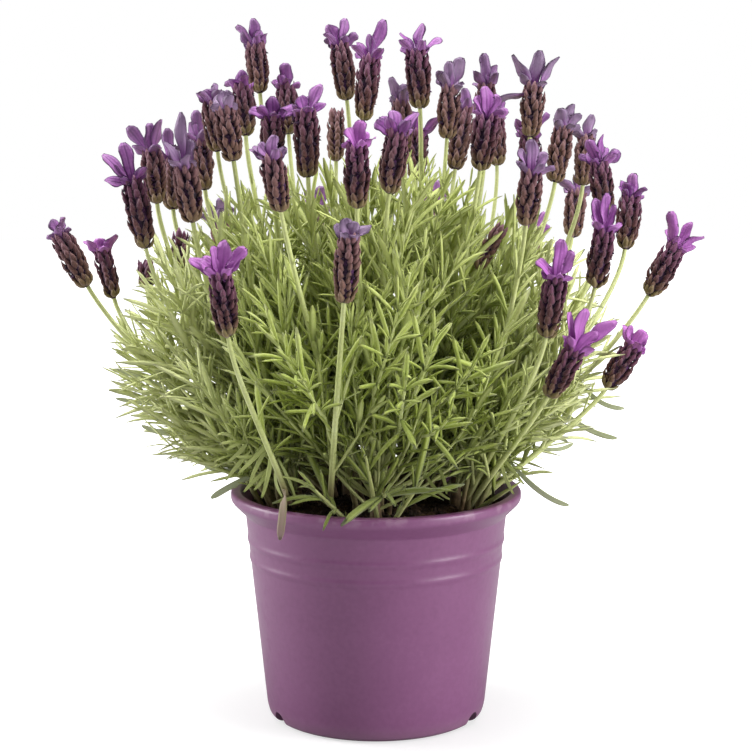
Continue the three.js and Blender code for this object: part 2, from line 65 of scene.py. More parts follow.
# The pot, as its node has it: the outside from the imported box, and the wall
POT_HIGH = np.array(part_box("pot")[1]) / MM
POT_HEIGHT = POT_HIGH[2]
RIM_RADIUS = max(POT_HIGH[:2])
MOUTH_RADIUS = RIM_RADIUS - 5
MOUTH_HEIGHT = POT_HEIGHT + 1
LIP_HEIGHT = 4
NECK_HEIGHT = POT_HEIGHT - 10.5
NECK_RADIUS = RIM_RADIUS - 6.5
COLLAR_FLARE = 2.5
WALL_FOOT_RADIUS = 49.3
BASE_RADIUS = 44.8
CORNER_HEIGHT = 5
WALL = 1.3
FLOOR = 1.8
FLOOR_INSET = 0.4
RING_HEIGHTS = (72.6, 81)
RING_HALF_WIDTH = 2
RING_DEPTH = 0.6
DRAIN_ANGLES = (-152, -28, 90)
DRAIN_RADIUS = 4.8
DRAIN_LENGTH = 14
DRAIN_SIDES = 32
DRAIN_CENTRE_HEIGHT = 1
POT_SIDES = 144
POT_CREASE = math.radians(32)
UNDERSIDE_RECESS = 0.6
# How far down the rim is paled, by wear and by a painted highlight
RIM_WEAR_AND_HIGHLIGHT = 5
DUST_HEIGHT = 9
FOOT_RING_WIDTH = 9

# The soil
SOIL_EDGE_HEIGHT = 95
SOIL_CROWN = 2.5
CRUMB_HEIGHT = 0.9
CRUMB_SIZE = 15
CRUMB_FADE = 6
FINE_CRUMBS = 0.6
SOIL_RINGS = 36
SOIL_SIDES = 120
SOIL_NOISE = ((3, 0.23, 1.5), (9, 0.7, 0.7))
GAP = 0.3

# Branches, each in a hole in the soil
# Rings of holes: how many, how far from the axis, and the first one's angle
HOLE_RINGS = ((3, 15, 30), (5, 37, -90))
HOLE_REACH = 0.36
TRUNK_DEPTH = 20
TRUNK_RISE = 20
LOWEST_FORK = 3
STEM_RADIUS = 1.25
STEM_STEPS = 4
STEM_TRIES = 80
STEM_LEAVE = 0.33
STEM_ARRIVE = 0.34
BOW_STEP = 0.004
UPWARD_BOW = 0.5
TOP_BOW = 0.25
STEM_STEEPNESS = 0.15
SHOOT_COUNT = 30
SHOOT_SHORTEN = 0.14
SHOOT_RISE = 0.75
GOLDEN_ANGLE = math.radians(137.508)
GOLDEN_SHARE = 0.618
DOME_FLOOR = 112
DOME_RADIUS = 104
DOME_HEIGHT = 122

# Flower heads
SPIKE_RADIUS = 5
SPIKE_RELIEF = 0.13
SPIKE_TRIES = 24
DEPTH_STEP = 2.5
SHORTEST_SPIKE = 21
EAR_HALF_WIDTH = 2.3
EAR_TRIES = 14
EAR_LEAST_LENGTH = 9
EAR_ARCH = 1.2
EAR_SINK = 2
DEPTH_LEAN = 1.06
CLEARANCE = 0.45
SEED = 13

# The foliage as the looks have it: a rounded mass of leaves about the stems
FOLIAGE_CENTRE = (-5, 0, 155)
FOLIAGE_RADIUS = 117
FOLIAGE_RISE = 102
FOLIAGE_DROP = 64
FRONT_LIFT = 0.17
FRONT_SQUEEZE = 1.5
LOW_FRONT_DEPTH = -35
LOW_FRONT_HEIGHT = 125
BASE_REACH = 9
BASE_SHARES = (0.3, 1.3)
BASE_SHIFTS = (-4, 4)
BASE_DEPTH = 4
CHECKED_PART = (0.12, 0.9, 14)
EDGE_MARGIN = 8
SIDE_MARGIN = 12
DRAW_IN = 0.94
DRAW_IN_TRIES = 12
PATH_CLEARANCE = 1.5
LEAF_LENGTH = 31
LEAF_SPACING = 8.5
LEAF_SLIMNESS = 0.048
LEAF_CURL = 0.07
# Leaves at each node of a stem: the degrees round it, and the size
LEAF_SEATS = ((0, 1), (180, 1), (38, 0.6), (218, 0.6))
LINE_STEP = 7
LINE_MARKS = {"girth": MM, "size": 1, "dense": 1, "spread": math.pi / 180, "wood": 1}
INNER_REACH = 25
SIDE_SHOOTS = 4
SIDE_SHOOT_PLACES = (0.14, 0.74)
SIDE_SHOOT_ANGLES = (26, 48)
SIDE_SHOOT_LENGTHS = (20, 48)
SIDE_TRIES = 3
FAN_TRIES = 8
SHOOT_GIRTH = ((0, 0.85), (1, 0.35))
SHOOT_WOOD = ((0, 0.15), (0.3, 0))
STEM_SINK = 1.5
# Shoots that rise from a trunk: how many, their slopes in degrees, and their lengths
INNER_FANS = ((9, (50, 88), (90, 150)), (9, (10, 80), (36, 80)))
OUTER_FANS = ((13, (18, 74), (70, 135)), (8, (4, 50), (28, 62)))
INNER_SWAY = 1.4
OUTER_SWAY = 0.8
FAN_BARE = (0.1, 0.22)
EDGE_LENGTHS = (30, 52)
EDGE_SAGS = (0.04, 0.12)
FREE_TAPER = 0.15
# Tips of shoots at the foliage's edge, and of ones in front: a pixel of the photograph, and a depth
EDGE_SHOOTS = (
    ((112, 348), -8), ((124, 334), -10), ((154, 250), 14), ((164, 268), -8), ((116, 352), 4),
    ((142, 318), 12), ((150, 340), -26), ((134, 356), 22), ((160, 302), -14), ((172, 324), 8),
    ((126, 376), -16), ((142, 398), 10), ((160, 420), -20), ((180, 438), 12), ((202, 456), -18),
    ((196, 300), 26), ((184, 268), 6), ((210, 252), -20), ((236, 234), 14), ((256, 214), -6),
    ((284, 206), 18), ((306, 196), -22), ((330, 188), 8), ((354, 196), -12), ((372, 194), 20),
    ((386, 206), -26), ((396, 190), 2), ((420, 184), 12), ((446, 178), -16), ((470, 186), 6),
    ((496, 196), -8), ((512, 214), 16), ((534, 232), -14), ((548, 254), 10), ((570, 268), -10),
    ((586, 300), 12), ((596, 330), -12), ((612, 352), 4),
)
FRONT_SHOOTS = (
    ((406, 380), -98), ((448, 420), -82), ((398, 312), -90), ((270, 330), -82), ((298, 370), -92),
    ((434, 340), -86), ((478, 360), -78),
)
# Long leaves: root, bend and tip, each a pixel of the photograph and a depth, and half the width
DROOPING_LEAF = ((287, 486, -50), (286, 488, -72), (280, 540, -71), 1.8)
OUTER_LEAVES = (
    ((166, 392, -4), (136, 374, -4), (112, 369, -4), 1.2),
    ((176, 402, 6), (146, 404, 6), (116, 398, 6), 1.1),
    ((204, 430, -10), (170, 440, -10), (142, 425, -10), 1.4),
    ((226, 448, 4), (198, 448, 4), (177, 458, 4), 1.2),
    ((260, 462, -12), (230, 474, -12), (205, 466, -12), 1.3),
    ((256, 478, -20), (232, 484, -20), (211, 498, -20), 1.4),
    ((578, 374, -6), (598, 408, -6), (624, 408, -6), 1.2),
    ((546, 408, 4), (582, 433, 4), (617, 438, 4), 1.4),
    ((518, 458, -16), (538, 498, -16), (569, 505, -16), 1.4),
    ((528, 446, -6), (550, 428, -6), (568, 442, -6), 1),
    ((530, 462, 8), (556, 456, 8), (573, 443, 8), 1),
)
LOW_LEAVES = (
    ((276, 438, -40), (262, 450, -44), (238, 474, -44), 1.07),
    ((268, 460, -36), (258, 474, -40), (244, 492, -40), 0.98),
    ((284, 450, -44), (272, 470, -48), (262, 498, -48), 1.07),
    ((262, 444, -34), (246, 448, -36), (228, 462, -36), 0.98),
    ((252, 450, -30), (240, 462, -32), (226, 480, -32), 0.98),
    ((272, 452, -40), (252, 458, -42), (236, 456, -42), 0.98),
    ((264, 470, -38), (272, 480, -46), (283, 497, -48), 0.9),
    ((296, 470, -46), (306, 478, -52), (320, 496, -52), 0.9),
    ((494, 458, -30), (502, 474, -32), (514, 494, -32), 0.98),
    ((424, 472, -44), (432, 490, -48), (450, 499, -50), 0.9),
    ((440, 464, -44), (446, 478, -48), (447, 494, -50), 0.82),
    ((258, 436, -36), (242, 440, -38), (226, 450, -38), 0.9),
    ((280, 462, -42), (266, 480, -48), (254, 490, -48), 0.9),
    ((286, 466, -42), (292, 480, -48), (296, 500, -50), 0.85),
    ((270, 444, -40), (256, 464, -43), (250, 484, -43), 0.95),
    ((500, 450, -26), (508, 462, -28), (524, 484, -28), 0.9),
)

# Scales and bracts of the flower heads
SCALE_HALF_WIDTH = 0.3
SCALE_STEP = 2.7
SPIKE_TWIST = 0.9
SLIM_SPIKE = 0.8
COLUMNS = 8
SLIM_COLUMNS = 6
LEAST_ROWS = 4
FLORETS = 10
BRACT_HALF_WIDTH = 3
INNER_BRACTS = 6
INNER_HALF_WIDTH = 2.3
INNER_SINK = 2.5
INNER_LENGTHS = (6.5, 12.5)
INNER_SPREADS = (0.45, 1.05)
BRACT_SPARE = 0.5
FACING = 0.6

# The photograph's view: a pinhole camera in front of the pot, with its focal length in pixels
VIEW_DISTANCE = 900
VIEW_HEIGHT = 293
VIEW_PITCH = math.radians(8.8)
VIEW_FOCAL = 2047
VIEW_SIZE = 752
SENSOR_WIDTH = 36
VIEW_CENTRE = VIEW_SIZE / 2

# The studio: its floor in millimetres, and its fade, places, sizes and powers in metres and watts
FLOOR_RADIUS = 2500
FLOOR_TOP = -0.2
FLOOR_LOW = -4
FLOOR_SIDES = 96
FLOOR_FADE = (0.08, 0.5)
FLOOR_GLOW = (0.62, 1.2)
ROOM_LIGHT = 0.25
LIGHTS = (
    {"name": "overhead", "place": (0, 0.1, 1.5), "aim": (0, 0, 0.15), "size": (1.4, 1.2), "power": 33},
    {"name": "right", "place": (1.3, -0.6, 0.5), "aim": (0, 0, 0.12), "size": (0.7, 0.9), "power": 21},
    {"name": "left", "place": (-1.3, 0.2, 0.5), "aim": (0, 0, 0.12), "size": (0.7, 0.9), "power": 17},
)


def head(foot, top, depth, ears=(), size=1, base=None, age=None):
    """A flower head as the photograph shows it: its spike's foot and top and its ears' tips in pixels, how
    far behind the pot's axis it stands, and what scales its girth. One without ears is a bud. A base is
    where the photograph shows its stem leave the soil, with its depth. An age runs from 0, bright, to 1,
    faded."""
    return {
        "foot": foot,
        "top": top,
        "depth": depth,
        "ear_tips": ears,
        "size": size,
        "bud": not ears,
        "base": base,
        "age": age,
    }


HEADS = [
    head((88, 287), (61, 238), 0, ears=[(52, 219), (61, 217)]),
    head((113, 295), (103, 254), 20, size=0.75, ears=[(100, 238)]),
    head((147, 290), (146, 266), 30, size=0.6),
    head((182, 270), (181, 236), 30, size=0.72),
    head((146, 249), (133, 182), -20, size=1.08, ears=[(102, 155), (126, 142), (104, 183)]),
    head((157, 204), (152, 155), 15, ears=[(151, 123), (160, 119), (127, 127)]),
    head((193, 223), (185, 170), -30, size=1.1, ears=[(164, 141), (180, 112), (193, 140)]),
    head((173, 210), (170, 162), 50, ears=[(168, 128)]),
    head((205, 190), (200, 145), 40, ears=[(197, 110), (190, 122)]),
    head((217, 146), (213, 104), -2, ears=[(214, 86), (207, 92)]),
    head((233, 157), (226, 112), -35, ears=[(219, 92), (228, 90)]),
    head((245, 124), (243, 90), 35, ears=[(240, 70), (234, 83)]),
    head((260, 94), (256, 48), 60, ears=[(254, 18), (236, 26), (261, 30)]),
    head((288, 124), (286, 90), 55, ears=[(287, 63), (280, 74)]),
    head((272, 164), (273, 120), -20, size=1.05, ears=[(251, 107), (273, 96), (297, 105)]),
    head((281, 212), (272, 161), -65, ears=[(257, 145), (270, 135), (285, 146)]),
    head((308, 178), (306, 115), -25, size=1.12, ears=[(321, 84), (298, 97)]),
    head((336, 162), (336, 116), 70, size=0.7),
    head((347, 101), (340, 48), 10, ears=[(327, 25), (344, 18), (357, 34)]),
    head((363, 121), (370, 62), 30, ears=[(383, 19), (369, 34)]),
    head((357, 209), (357, 150), -60, ears=[(350, 127), (361, 120), (369, 133)]),
    head((420, 109), (417, 54), -10, size=1.06, ears=[(401, 32), (421, 23), (442, 39)]),
    head((404, 150), (401, 106), 45, size=0.9, ears=[(391, 77), (405, 84)]),
    head((389, 194), (397, 136), -45, size=1.05, ears=[(375, 122), (393, 110), (418, 112)]),
    head((416, 180), (418, 136), 65, size=0.95, ears=[(442, 121), (410, 112)]),
    head((447, 138), (450, 92), 30, ears=[(437, 71), (449, 61), (461, 57)]),
    head((480, 171), (487, 118), -25, size=1.08, ears=[(476, 96), (487, 86), (499, 95)]),
    head((486, 130), (486, 88), 38, size=0.9, ears=[(485, 53), (495, 64)]),
    head((455, 170), (464, 112), 62, size=0.95, ears=[(466, 88)]),
    head((497, 166), (495, 122), 84, size=0.95, ears=[(503, 100)]),
    head((530, 138), (534, 90), 20, ears=[(512, 55), (537, 50), (560, 57), (497, 103)], age=1),
    head((530, 184), (530, 140), 58, ears=[(514, 120), (548, 113)]),
    head((526, 225), (531, 176), -50, ears=[(521, 148), (534, 139), (546, 152)]),
    head((555, 183), (563, 132), 40, ears=[(570, 103), (580, 113), (560, 108)]),
    head((583, 182), (586, 141), 52, size=0.9, ears=[(590, 114)], age=1),
    head((604, 206), (600, 166), 0, ears=[(589, 139), (601, 134), (619, 150)]),
    head((595, 288), (604, 234), -35, ears=[(593, 199), (605, 193), (616, 205)], age=0.2),
    head((572, 238), (577, 195), 78, ears=[(583, 172)]),
    head((625, 250), (631, 200), 30, ears=[(632, 173), (625, 182)]),
    head((648, 296), (674, 251), 0, ears=[(672, 211), (690, 221), (704, 236)], age=0.1),
    head((546, 338), (556, 280), -60, ears=[(562, 239), (573, 251), (539, 258)]),
    head((548, 397), (574, 353), -50, ears=[(569, 312), (583, 308), (596, 330), (614, 318)], age=0),
    head((608, 386), (632, 349), -10, ears=[(645, 331), (648, 336)], age=0),
    head((476, 270), (500, 230), -12, size=0.55, age=0.8),
    head((228, 337), (221, 277), -85, ears=[(189, 259), (210, 247), (226, 240), (244, 246)],
         base=((289, 503), -46), age=0.1),
    head((344, 303), (349, 240), -88, ears=[(345, 218), (354, 221)], base=((330, 506), -48), age=1),
    head((228, 272), (220, 226), 98, ears=[(208, 204), (220, 198), (232, 207)]),
    head((322, 262), (318, 212), 116, ears=[(306, 190), (321, 186)]),
    head((430, 258), (434, 208), 118, ears=[(424, 186), (437, 180), (449, 190)]),
    head((524, 280), (532, 234), 100, ears=[(526, 208), (545, 212)]),
]


def vec(x, y, z):
    return np.array((x, y, z), float)


UP = vec(0, 0, 1)


def unit(v):
    return v / np.linalg.norm(v)


def bezier(points, t):
    """The point at t of a Bezier curve of any order."""
    while len(points) > 1:
        points = [a + (b - a) * t for a, b in zip(points, points[1:])]
    return points[0]


def heading(points, t):
    """The direction of a Bezier curve at t."""
    return unit(bezier([b - a for a, b in zip(points, points[1:])], t))


def from_view(pixel, depth):
    """The point at a depth behind the pot's axis that shows at a pixel of the photograph."""
    across = (pixel[0] - VIEW_CENTRE) / VIEW_FOCAL
    rise = (VIEW_CENTRE - pixel[1]) / VIEW_FOCAL
    sin, cos = math.sin(VIEW_PITCH), math.cos(VIEW_PITCH)
    y = depth + VIEW_DISTANCE
    z = y * (rise * cos - sin) / (cos + rise * sin)
    return vec(across * (y * cos - z * sin), depth, z + VIEW_HEIGHT)


def seeded(seed):
    """A generator of numbers from 0 to 1, the same as the model's."""
    state, mask = seed, 0xFFFFFFFF

    def draw():
        nonlocal state
        state = (state + 0x6D2B79F5) & mask
        t = ((state ^ (state >> 15)) * (state | 1)) & mask
        t ^= (t + ((t ^ (t >> 7)) * (t | 61) & mask)) & mask
        return (t ^ (t >> 14)) / 2 ** 32

    return draw


# Where the model's spikes, ears and stems stand, by the rule that placed them there


class Places:
    """Places already taken, as capsules: two ends, a radius and names. Those that share a name may touch."""

    def __init__(self):
        self.starts, self.ends = np.empty((0, 3)), np.empty((0, 3))
        self.radii, self.names = np.empty(0), []

    def add(self, capsules):
        self.starts = np.vstack([self.starts, *(capsule[0] for capsule in capsules)])
        self.ends = np.vstack([self.ends, *(capsule[1] for capsule in capsules)])
        self.radii = np.append(self.radii, [capsule[2] for capsule in capsules])
        self.names += [capsule[3] for capsule in capsules]

    def are_free(self, capsules):
        for start, end, radius, names in capsules:
            gaps = segment_distances(start, end, self.starts, self.ends)
            near = np.flatnonzero(gaps <= radius + self.radii + CLEARANCE)
            if any(names.isdisjoint(self.names[i]) for i in near):
                return False
        return True

    def first_free(self, tries, make):
        """What the first free try makes, which is then taken, or None. make gives it with its capsules."""
        for i in range(tries):
            made, capsules = make(i)
            if self.are_free(capsules):
                self.add(capsules)
                return made
        return None


def segment_distances(start, end, starts, ends):
    """Shortest distances from one segment to each of many."""
    way, ways, between = end - start, ends - starts, start - starts
    a, b, c = way @ way, ways @ way, between @ way
    e = np.einsum("ij,ij->i", ways, ways)
    f = np.einsum("ij,ij->i", ways, between)
    spread = a * e - b * b
    skew = spread > 1e-9
    s = np.where(skew, np.clip((b * f - c * e) / np.where(skew, spread, 1), 0, 1), 0)
    t = (b * s + f) / e
    s = np.where(t < 0, np.clip(-c / a, 0, 1), np.where(t > 1, np.clip((b - c) / a, 0, 1), s))
    t = np.clip(t, 0, 1)
    return np.linalg.norm(between + s[:, None] * way - t[:, None] * ways, axis=1)


def capsules_along(curve, count, radius, names):
    points = [bezier(curve, i / count) for i in range(count + 1)]
    return [(a, b, radius, set(names)) for a, b in zip(points, points[1:])]


def swing(i):
    """0, 1, -1, 2, -2 and so on."""
    return (1 if i % 2 else -1) * math.ceil(i / 2)


def place_spike(places, head, number):
    head["name"] = f"flower_head_{number:02d}"
    head["radius"] = SPIKE_RADIUS * head["size"]

    def spike(i):
        depth = head["depth"] + swing(i) * DEPTH_STEP
        foot = from_view(head["foot"], depth)
        top = from_view(head["top"], depth * DEPTH_LEAN)
        axis = unit(top - foot)
        length = max(np.linalg.norm(top - foot), 0 if head["bud"] else SHORTEST_SPIKE)
        foot = top - axis * length
        place = {"foot": foot, "top": top, "axis": axis, "length": length, "depth": depth}
        return place, [(foot, top, head["radius"] * (1 + SPIKE_RELIEF), {head["name"]})]

    head.update(places.first_free(SPIKE_TRIES, spike))


def place_ears(places, head):
    root = head["top"] - head["axis"] * EAR_SINK

    def ear(pixel, i):
        reach = from_view(pixel, head["depth"] * DEPTH_LEAN + swing(i) * DEPTH_STEP) - root
        reach = unit(reach) * max(EAR_LEAST_LENGTH, np.linalg.norm(reach))
        curve = [root, root + reach * 0.5 + head["axis"] * EAR_ARCH, root + reach]
        return curve, capsules_along(curve, 2, EAR_HALF_WIDTH, {head["name"]})

    ears = [places.first_free(EAR_TRIES, lambda i: ear(pixel, i)) for pixel in head["ear_tips"]]
    head["ears"] = [curve for curve in ears if curve]


def wall_radius(height):
    """The radius of the pot's plain wall, outside, at a height."""
    share = (height - CORNER_HEIGHT) / (NECK_HEIGHT - CORNER_HEIGHT)
    return WALL_FOOT_RADIUS + (NECK_RADIUS - WALL_FOOT_RADIUS) * share


def soil_height(x, y):
    """The soil's surface in the model: a low crown with crumbs as crossed waves, which fade at the wall."""
    edge = wall_radius(SOIL_EDGE_HEIGHT) - WALL
    fall = 1 - (x * x + y * y) / (edge * edge)
    wave = 2 * math.pi / CRUMB_SIZE
    crumbs = math.sin(x * wave + 1) * math.cos(y * wave) + FINE_CRUMBS * math.sin((x + y) * wave * 2)
    return SOIL_EDGE_HEIGHT + SOIL_CROWN * fall + CRUMB_HEIGHT * crumbs * min(1, CRUMB_FADE * fall)


def make_branches():
    branches = []
    for count, radius, turn in HOLE_RINGS:
        for i in range(count):
            angle = math.radians(turn + 360 * i / count)
            x, y = radius * math.cos(angle), radius * math.sin(angle)
            name = f"leafy_branch_{len(branches) + 1}"
            branches.append({"name": name, "hole": vec(x, y, soil_height(x, y)), "stems": []})
    return branches


def branch_for(branches, point):
    return min(branches, key=lambda branch: math.hypot(*(branch["hole"] - point * HOLE_REACH)[:2]))


def place_stem(places, branches, end, axis, head_name=None, base=None):
    branch = branch_for(branches, end)
    count = len(branch["stems"])
    start = branch["hole"] + UP * (LOWEST_FORK + (count * 5) % (TRUNK_RISE - LOWEST_FORK))
    names = {branch["name"], f"{branch['name']}_stem_{count + 1}"}

    def stem(i):
        chord = end - start
        length = np.linalg.norm(chord)
        side = unit(np.cross(chord, UP))
        angle = i * GOLDEN_ANGLE
        bow = (side * math.cos(angle) + UP * UPWARD_BOW * math.sin(angle)) * i * BOW_STEP * length
        leave = unit(unit(chord) * (1 - STEM_STEEPNESS) + UP * STEM_STEEPNESS)
        first = start + leave * length * STEM_LEAVE + bow
        second = end - axis * length * STEM_ARRIVE + bow * TOP_BOW
        curve = [start, first, second, end]
        capsules = capsules_along(curve, STEM_STEPS, STEM_RADIUS, names)
        if head_name:
            capsules[-1][3].add(head_name)
        return curve, capsules

    curve = places.first_free(STEM_TRIES, stem)
    if curve:
        branch["stems"].append({"curve": curve, "flowering": bool(head_name), "base": base})


def place_shoot(places, branches, index, draw):
    angle = index * GOLDEN_ANGLE
    height = (index + 0.5) / SHOOT_COUNT
    share = 1 - SHOOT_SHORTEN * draw()
    spread = math.sqrt(1 - height * height) * DOME_RADIUS * share
    end = vec(spread * math.cos(angle), spread * math.sin(angle), DOME_FLOOR + height * DOME_HEIGHT * share)
    axis = unit(vec(end[0] / DOME_RADIUS, end[1] / DOME_RADIUS, SHOOT_RISE))
    place_stem(places, branches, end, axis)


def place_plant():
    """The flower heads and the branches with their stems, where the model has them."""
    places, draw = Places(), seeded(SEED)
    heads = [dict(row) for row in HEADS]
    for number, row in enumerate(heads, 1):
        place_spike(places, row, number)
    for row in heads:
        place_ears(places, row)
    branches = make_branches()
    for row in heads:
        place_stem(places, branches, row["foot"] - row["axis"] * GAP, row["axis"], row["name"], row["base"])
    for index in range(SHOOT_COUNT):
        place_shoot(places, branches, index, draw)
    return heads, branches


# Node trees


def socket_kind(default):
    """The kind of socket that a default value calls for. A text is itself the name of a kind."""
    if isinstance(default, str):
        return default
    if isinstance(default, tuple):
        return "Color" if len(default) == 4 else "Vector"
    return "Int" if isinstance(default, int) else "Float"


class Tree:
    """A tree of geometry or shader nodes in the making. A method returns what its new node puts out."""

    def __init__(self, tree):
        self.tree = tree

    @classmethod
    def group(cls, name, kind, takes, gives):
        """A node group. takes maps each input's name to its default, or to its kind if it has none, and
        gives maps each output's name to its kind."""
        made = cls(bpy.data.node_groups.new(name, kind))
        sockets = made.tree.interface
        for label, default in takes.items():
            sort = "NodeSocket" + socket_kind(default)
            socket = sockets.new_socket(label, in_out="INPUT", socket_type=sort)
            if not isinstance(default, str):
                socket.default_value = default
        for label, sort in gives.items():
            sockets.new_socket(label, in_out="OUTPUT", socket_type="NodeSocket" + sort)
        made.takes = made.tree.nodes.new("NodeGroupInput").outputs
        made.gives = made.tree.nodes.new("NodeGroupOutput").inputs
        return made

    def give(self, **values):
        """The group's finished tree, with a value for each of its outputs."""
        for label, value in values.items():
            self.feed(self.gives[label], value)
        return self.tree

    def feed(self, socket, value):
        """Links or sets an input. A colour of three numbers is as the photograph shows it, 0 to 255."""
        if isinstance(value, bpy.types.NodeSocket):
            self.tree.links.new(value, socket)
        elif socket.type == "RGBA" and len(value) == 3:
            socket.default_value = shader_colour(value)
        else:
            socket.default_value = value

    def add(self, kind, inputs=(), **settings):
        node = self.tree.nodes.new(kind)
        for name, value in settings.items():
            setattr(node, name, value)
        for key, value in dict(inputs).items():
            self.feed(node.inputs[key], value)
        return node.outputs

    def math(self, operation, *values):
        return self.add("ShaderNodeMath", enumerate(values), operation=operation)[0]

    def times(self, a, b):
        return self.math("MULTIPLY", a, b)

    def plus(self, a, b):
        return self.math("ADD", a, b)

    def cos_sin(self, angle):
        return self.math("COSINE", angle), self.math("SINE", angle)

    def vector(self, operation, *values):
        outputs = self.add("ShaderNodeVectorMath", enumerate(values), operation=operation)
        return outputs["Value" if operation == "LENGTH" else "Vector"]

    def combined(self, x, y, z):
        return self.add("ShaderNodeCombineXYZ", {0: x, 1: y, 2: z})[0]

    def separated(self, vector):
        return self.add("ShaderNodeSeparateXYZ", {0: vector})

    def scaled(self, vector, by):
        return self.add("ShaderNodeVectorMath", {0: vector, "Scale": by}, operation="SCALE")[0]

    def both(self, a, by_a, b, by_b):
        """a times by_a and b times by_b, together."""
        return self.vector("ADD", self.scaled(a, by_a), self.scaled(b, by_b))

    def compare(self, a, operation, b):
        return self.add("FunctionNodeCompare", {0: a, 1: b}, operation=operation)[0]

    def boolean(self, a, operation, b):
        return self.add("FunctionNodeBooleanMath", {0: a, 1: b}, operation=operation)[0]

    def map(self, value, low, high, to_low=0.0, to_high=1.0):
        inputs = {0: value, 1: low, 2: high, 3: to_low, 4: to_high}
        return self.add("ShaderNodeMapRange", inputs, interpolation_type="SMOOTHSTEP")[0]

    def noise(self, place, scale, detail):
        return self.add("ShaderNodeTexNoise", {"Vector": place, "Scale": scale, "Detail": detail})

    def random(self, low, high, seed, number=None):
        """A random value for each point, or for each number given."""
        inputs = {2: low, 3: high, "Seed": self.plus(self.takes["Seed"], seed)}
        if number is not None:
            inputs["ID"] = number
        return self.add("FunctionNodeRandomValue", inputs)[1]

    def attribute(self, name):
        return self.add("GeometryNodeInputNamedAttribute", {"Name": name}, data_type="FLOAT")[0]

    def store(self, geometry, name, value, domain="INSTANCE"):
        inputs = {"Geometry": geometry, "Name": name, "Value": value}
        return self.add("GeometryNodeStoreNamedAttribute", inputs, data_type="FLOAT", domain=domain)[0]

    def moved(self, geometry, **where):
        """Geometry with a new Position for each point, or moved by an Offset."""
        return self.add("GeometryNodeSetPosition", {"Geometry": geometry, **where})[0]

    def shape_of(self, label):
        """The geometry of the object given to a group input."""
        return self.add("GeometryNodeObjectInfo", {"Object": self.takes[label]})["Geometry"]

    def rotation(self, first, first_axis, second, second_axis):
        """What turns two axes of a shape to two directions."""
        axes = {"primary_axis": first_axis, "secondary_axis": second_axis}
        return self.add("FunctionNodeAxesToRotation", {0: first, 1: second}, **axes)[0]

    def copies(self, **inputs):
        """Instances on points, with the node's inputs by their names."""
        return self.add("GeometryNodeInstanceOnPoints", inputs)[0]

    def join(self, *parts):
        node = self.tree.nodes.new("GeometryNodeJoinGeometry")
        for part in parts:
            self.tree.links.new(part, node.inputs[0])
        return node.outputs[0]

    def realized(self, geometry):
        return self.add("GeometryNodeRealizeInstances", {"Geometry": geometry})[0]

    def finished(self, geometry, label):
        """Realized smooth geometry with the finish given to a group input."""
        inputs = {"Geometry": self.realized(geometry), "Shade Smooth": True}
        smooth = self.add("GeometryNodeSetShadeSmooth", inputs)[0]
        return self.add("GeometryNodeSetMaterial", {"Geometry": smooth, "Material": self.takes[label]})[0]

    def mix(self, factor, a, b):
        return self.add("ShaderNodeMix", {0: factor, 6: a, 7: b}, data_type="RGBA")[2]

    def place(self):
        """A shader's place on its object."""
        return self.add("ShaderNodeTexCoord")["Object"]

    def part(self, name):
        """A shader's reading of an attribute of the mesh."""
        return self.add("ShaderNodeAttribute", attribute_name=name)["Fac"]


# Thin blades: leaves, bracts and the scales of the spikes


class Sheets:
    """Closed thin blades gathered in one mesh, which knows where each point lies on its blade."""

    def __init__(self):
        self.points, self.faces = [], []
        self.marks = {"along": [], "across": [], "upper": [], "tint": []}

    def add(self, rows, columns, place, tint=0.5):
        """place(t, u, side) gives a point of the blade: t runs from root to tip, u across from -1 to 1, and
        side is 1 on the upper sheet, -1 on the under one and 0 on the edge that they share."""
        seats = {}

        def seat(i, j, side):
            side = 0 if i in (0, rows) or j in (0, columns) else side
            if (i, j, side) not in seats:
                seats[i, j, side] = len(self.points)
                t, u = i / rows, 2 * j / columns - 1
                self.points.append(place(t, u, side))
                for mark, value in (("along", t), ("across", u), ("upper", (side + 1) / 2), ("tint", tint)):
                    self.marks[mark].append(value)
            return seats[i, j, side]

        for side in (1, -1):
            for i in range(rows):
                for j in range(columns):
                    corners = [(i, j), (i, j + 1), (i + 1, j + 1), (i + 1, j)]
                    self.faces.append([seat(*corner, side) for corner in corners[::side]])

    def mesh(self, name, scale=MM):
        mesh = bpy.data.meshes.new(name)
        mesh.from_pydata([tuple(point * scale) for point in self.points], [], self.faces)
        for mark, values in self.marks.items():
            mark_points(mesh, mark, values)
        return mesh


def mark_points(mesh, name, values):
    mesh.attributes.new(name, "FLOAT", "POINT").data.foreach_set("value", values)


def ease(t):
    """A smooth rise from 0 to 1."""
    t = min(max(t, 0), 1)
    return t * t * (3 - 2 * t)


def leaf_sheet():
    """A narrow leaf of length 1 along X with its face up: blunt tip, and margins rolled under."""
    sheets = Sheets()

    def place(t, u, side):
        half_width = LEAF_SLIMNESS * (0.5 + 0.5 * ease(t / 0.3)) * (1 - 0.7 * ease((t - 0.78) / 0.22))
        rolled = -0.35 * half_width * u * u
        thickness = half_width * (0.42 if side > 0 else 0.12) * side
        return vec(t, u * half_width, rolled + thickness - LEAF_CURL * t * t)

    sheets.add(5, 2, place)
    return sheets.mesh("leaf", 1)


def scale_sheet():
    """A scale of a spike, of length 1 along X: broad, cupped round the spike, with a short point."""
    sheets = Sheets()

    def place(t, u, side):
        half_width = SCALE_HALF_WIDTH * (0.7 + 0.3 * ease(t / 0.5)) * (1 - 0.85 * ease((t - 0.45) / 0.55))
        cup = -0.75 * half_width * u * u
        bend = 0.16 * math.sin(math.pi * t)
        return vec(t, u * half_width, cup + bend + 0.05 * side)

    sheets.add(3, 4, place)
    return sheets.mesh("scale", 1)


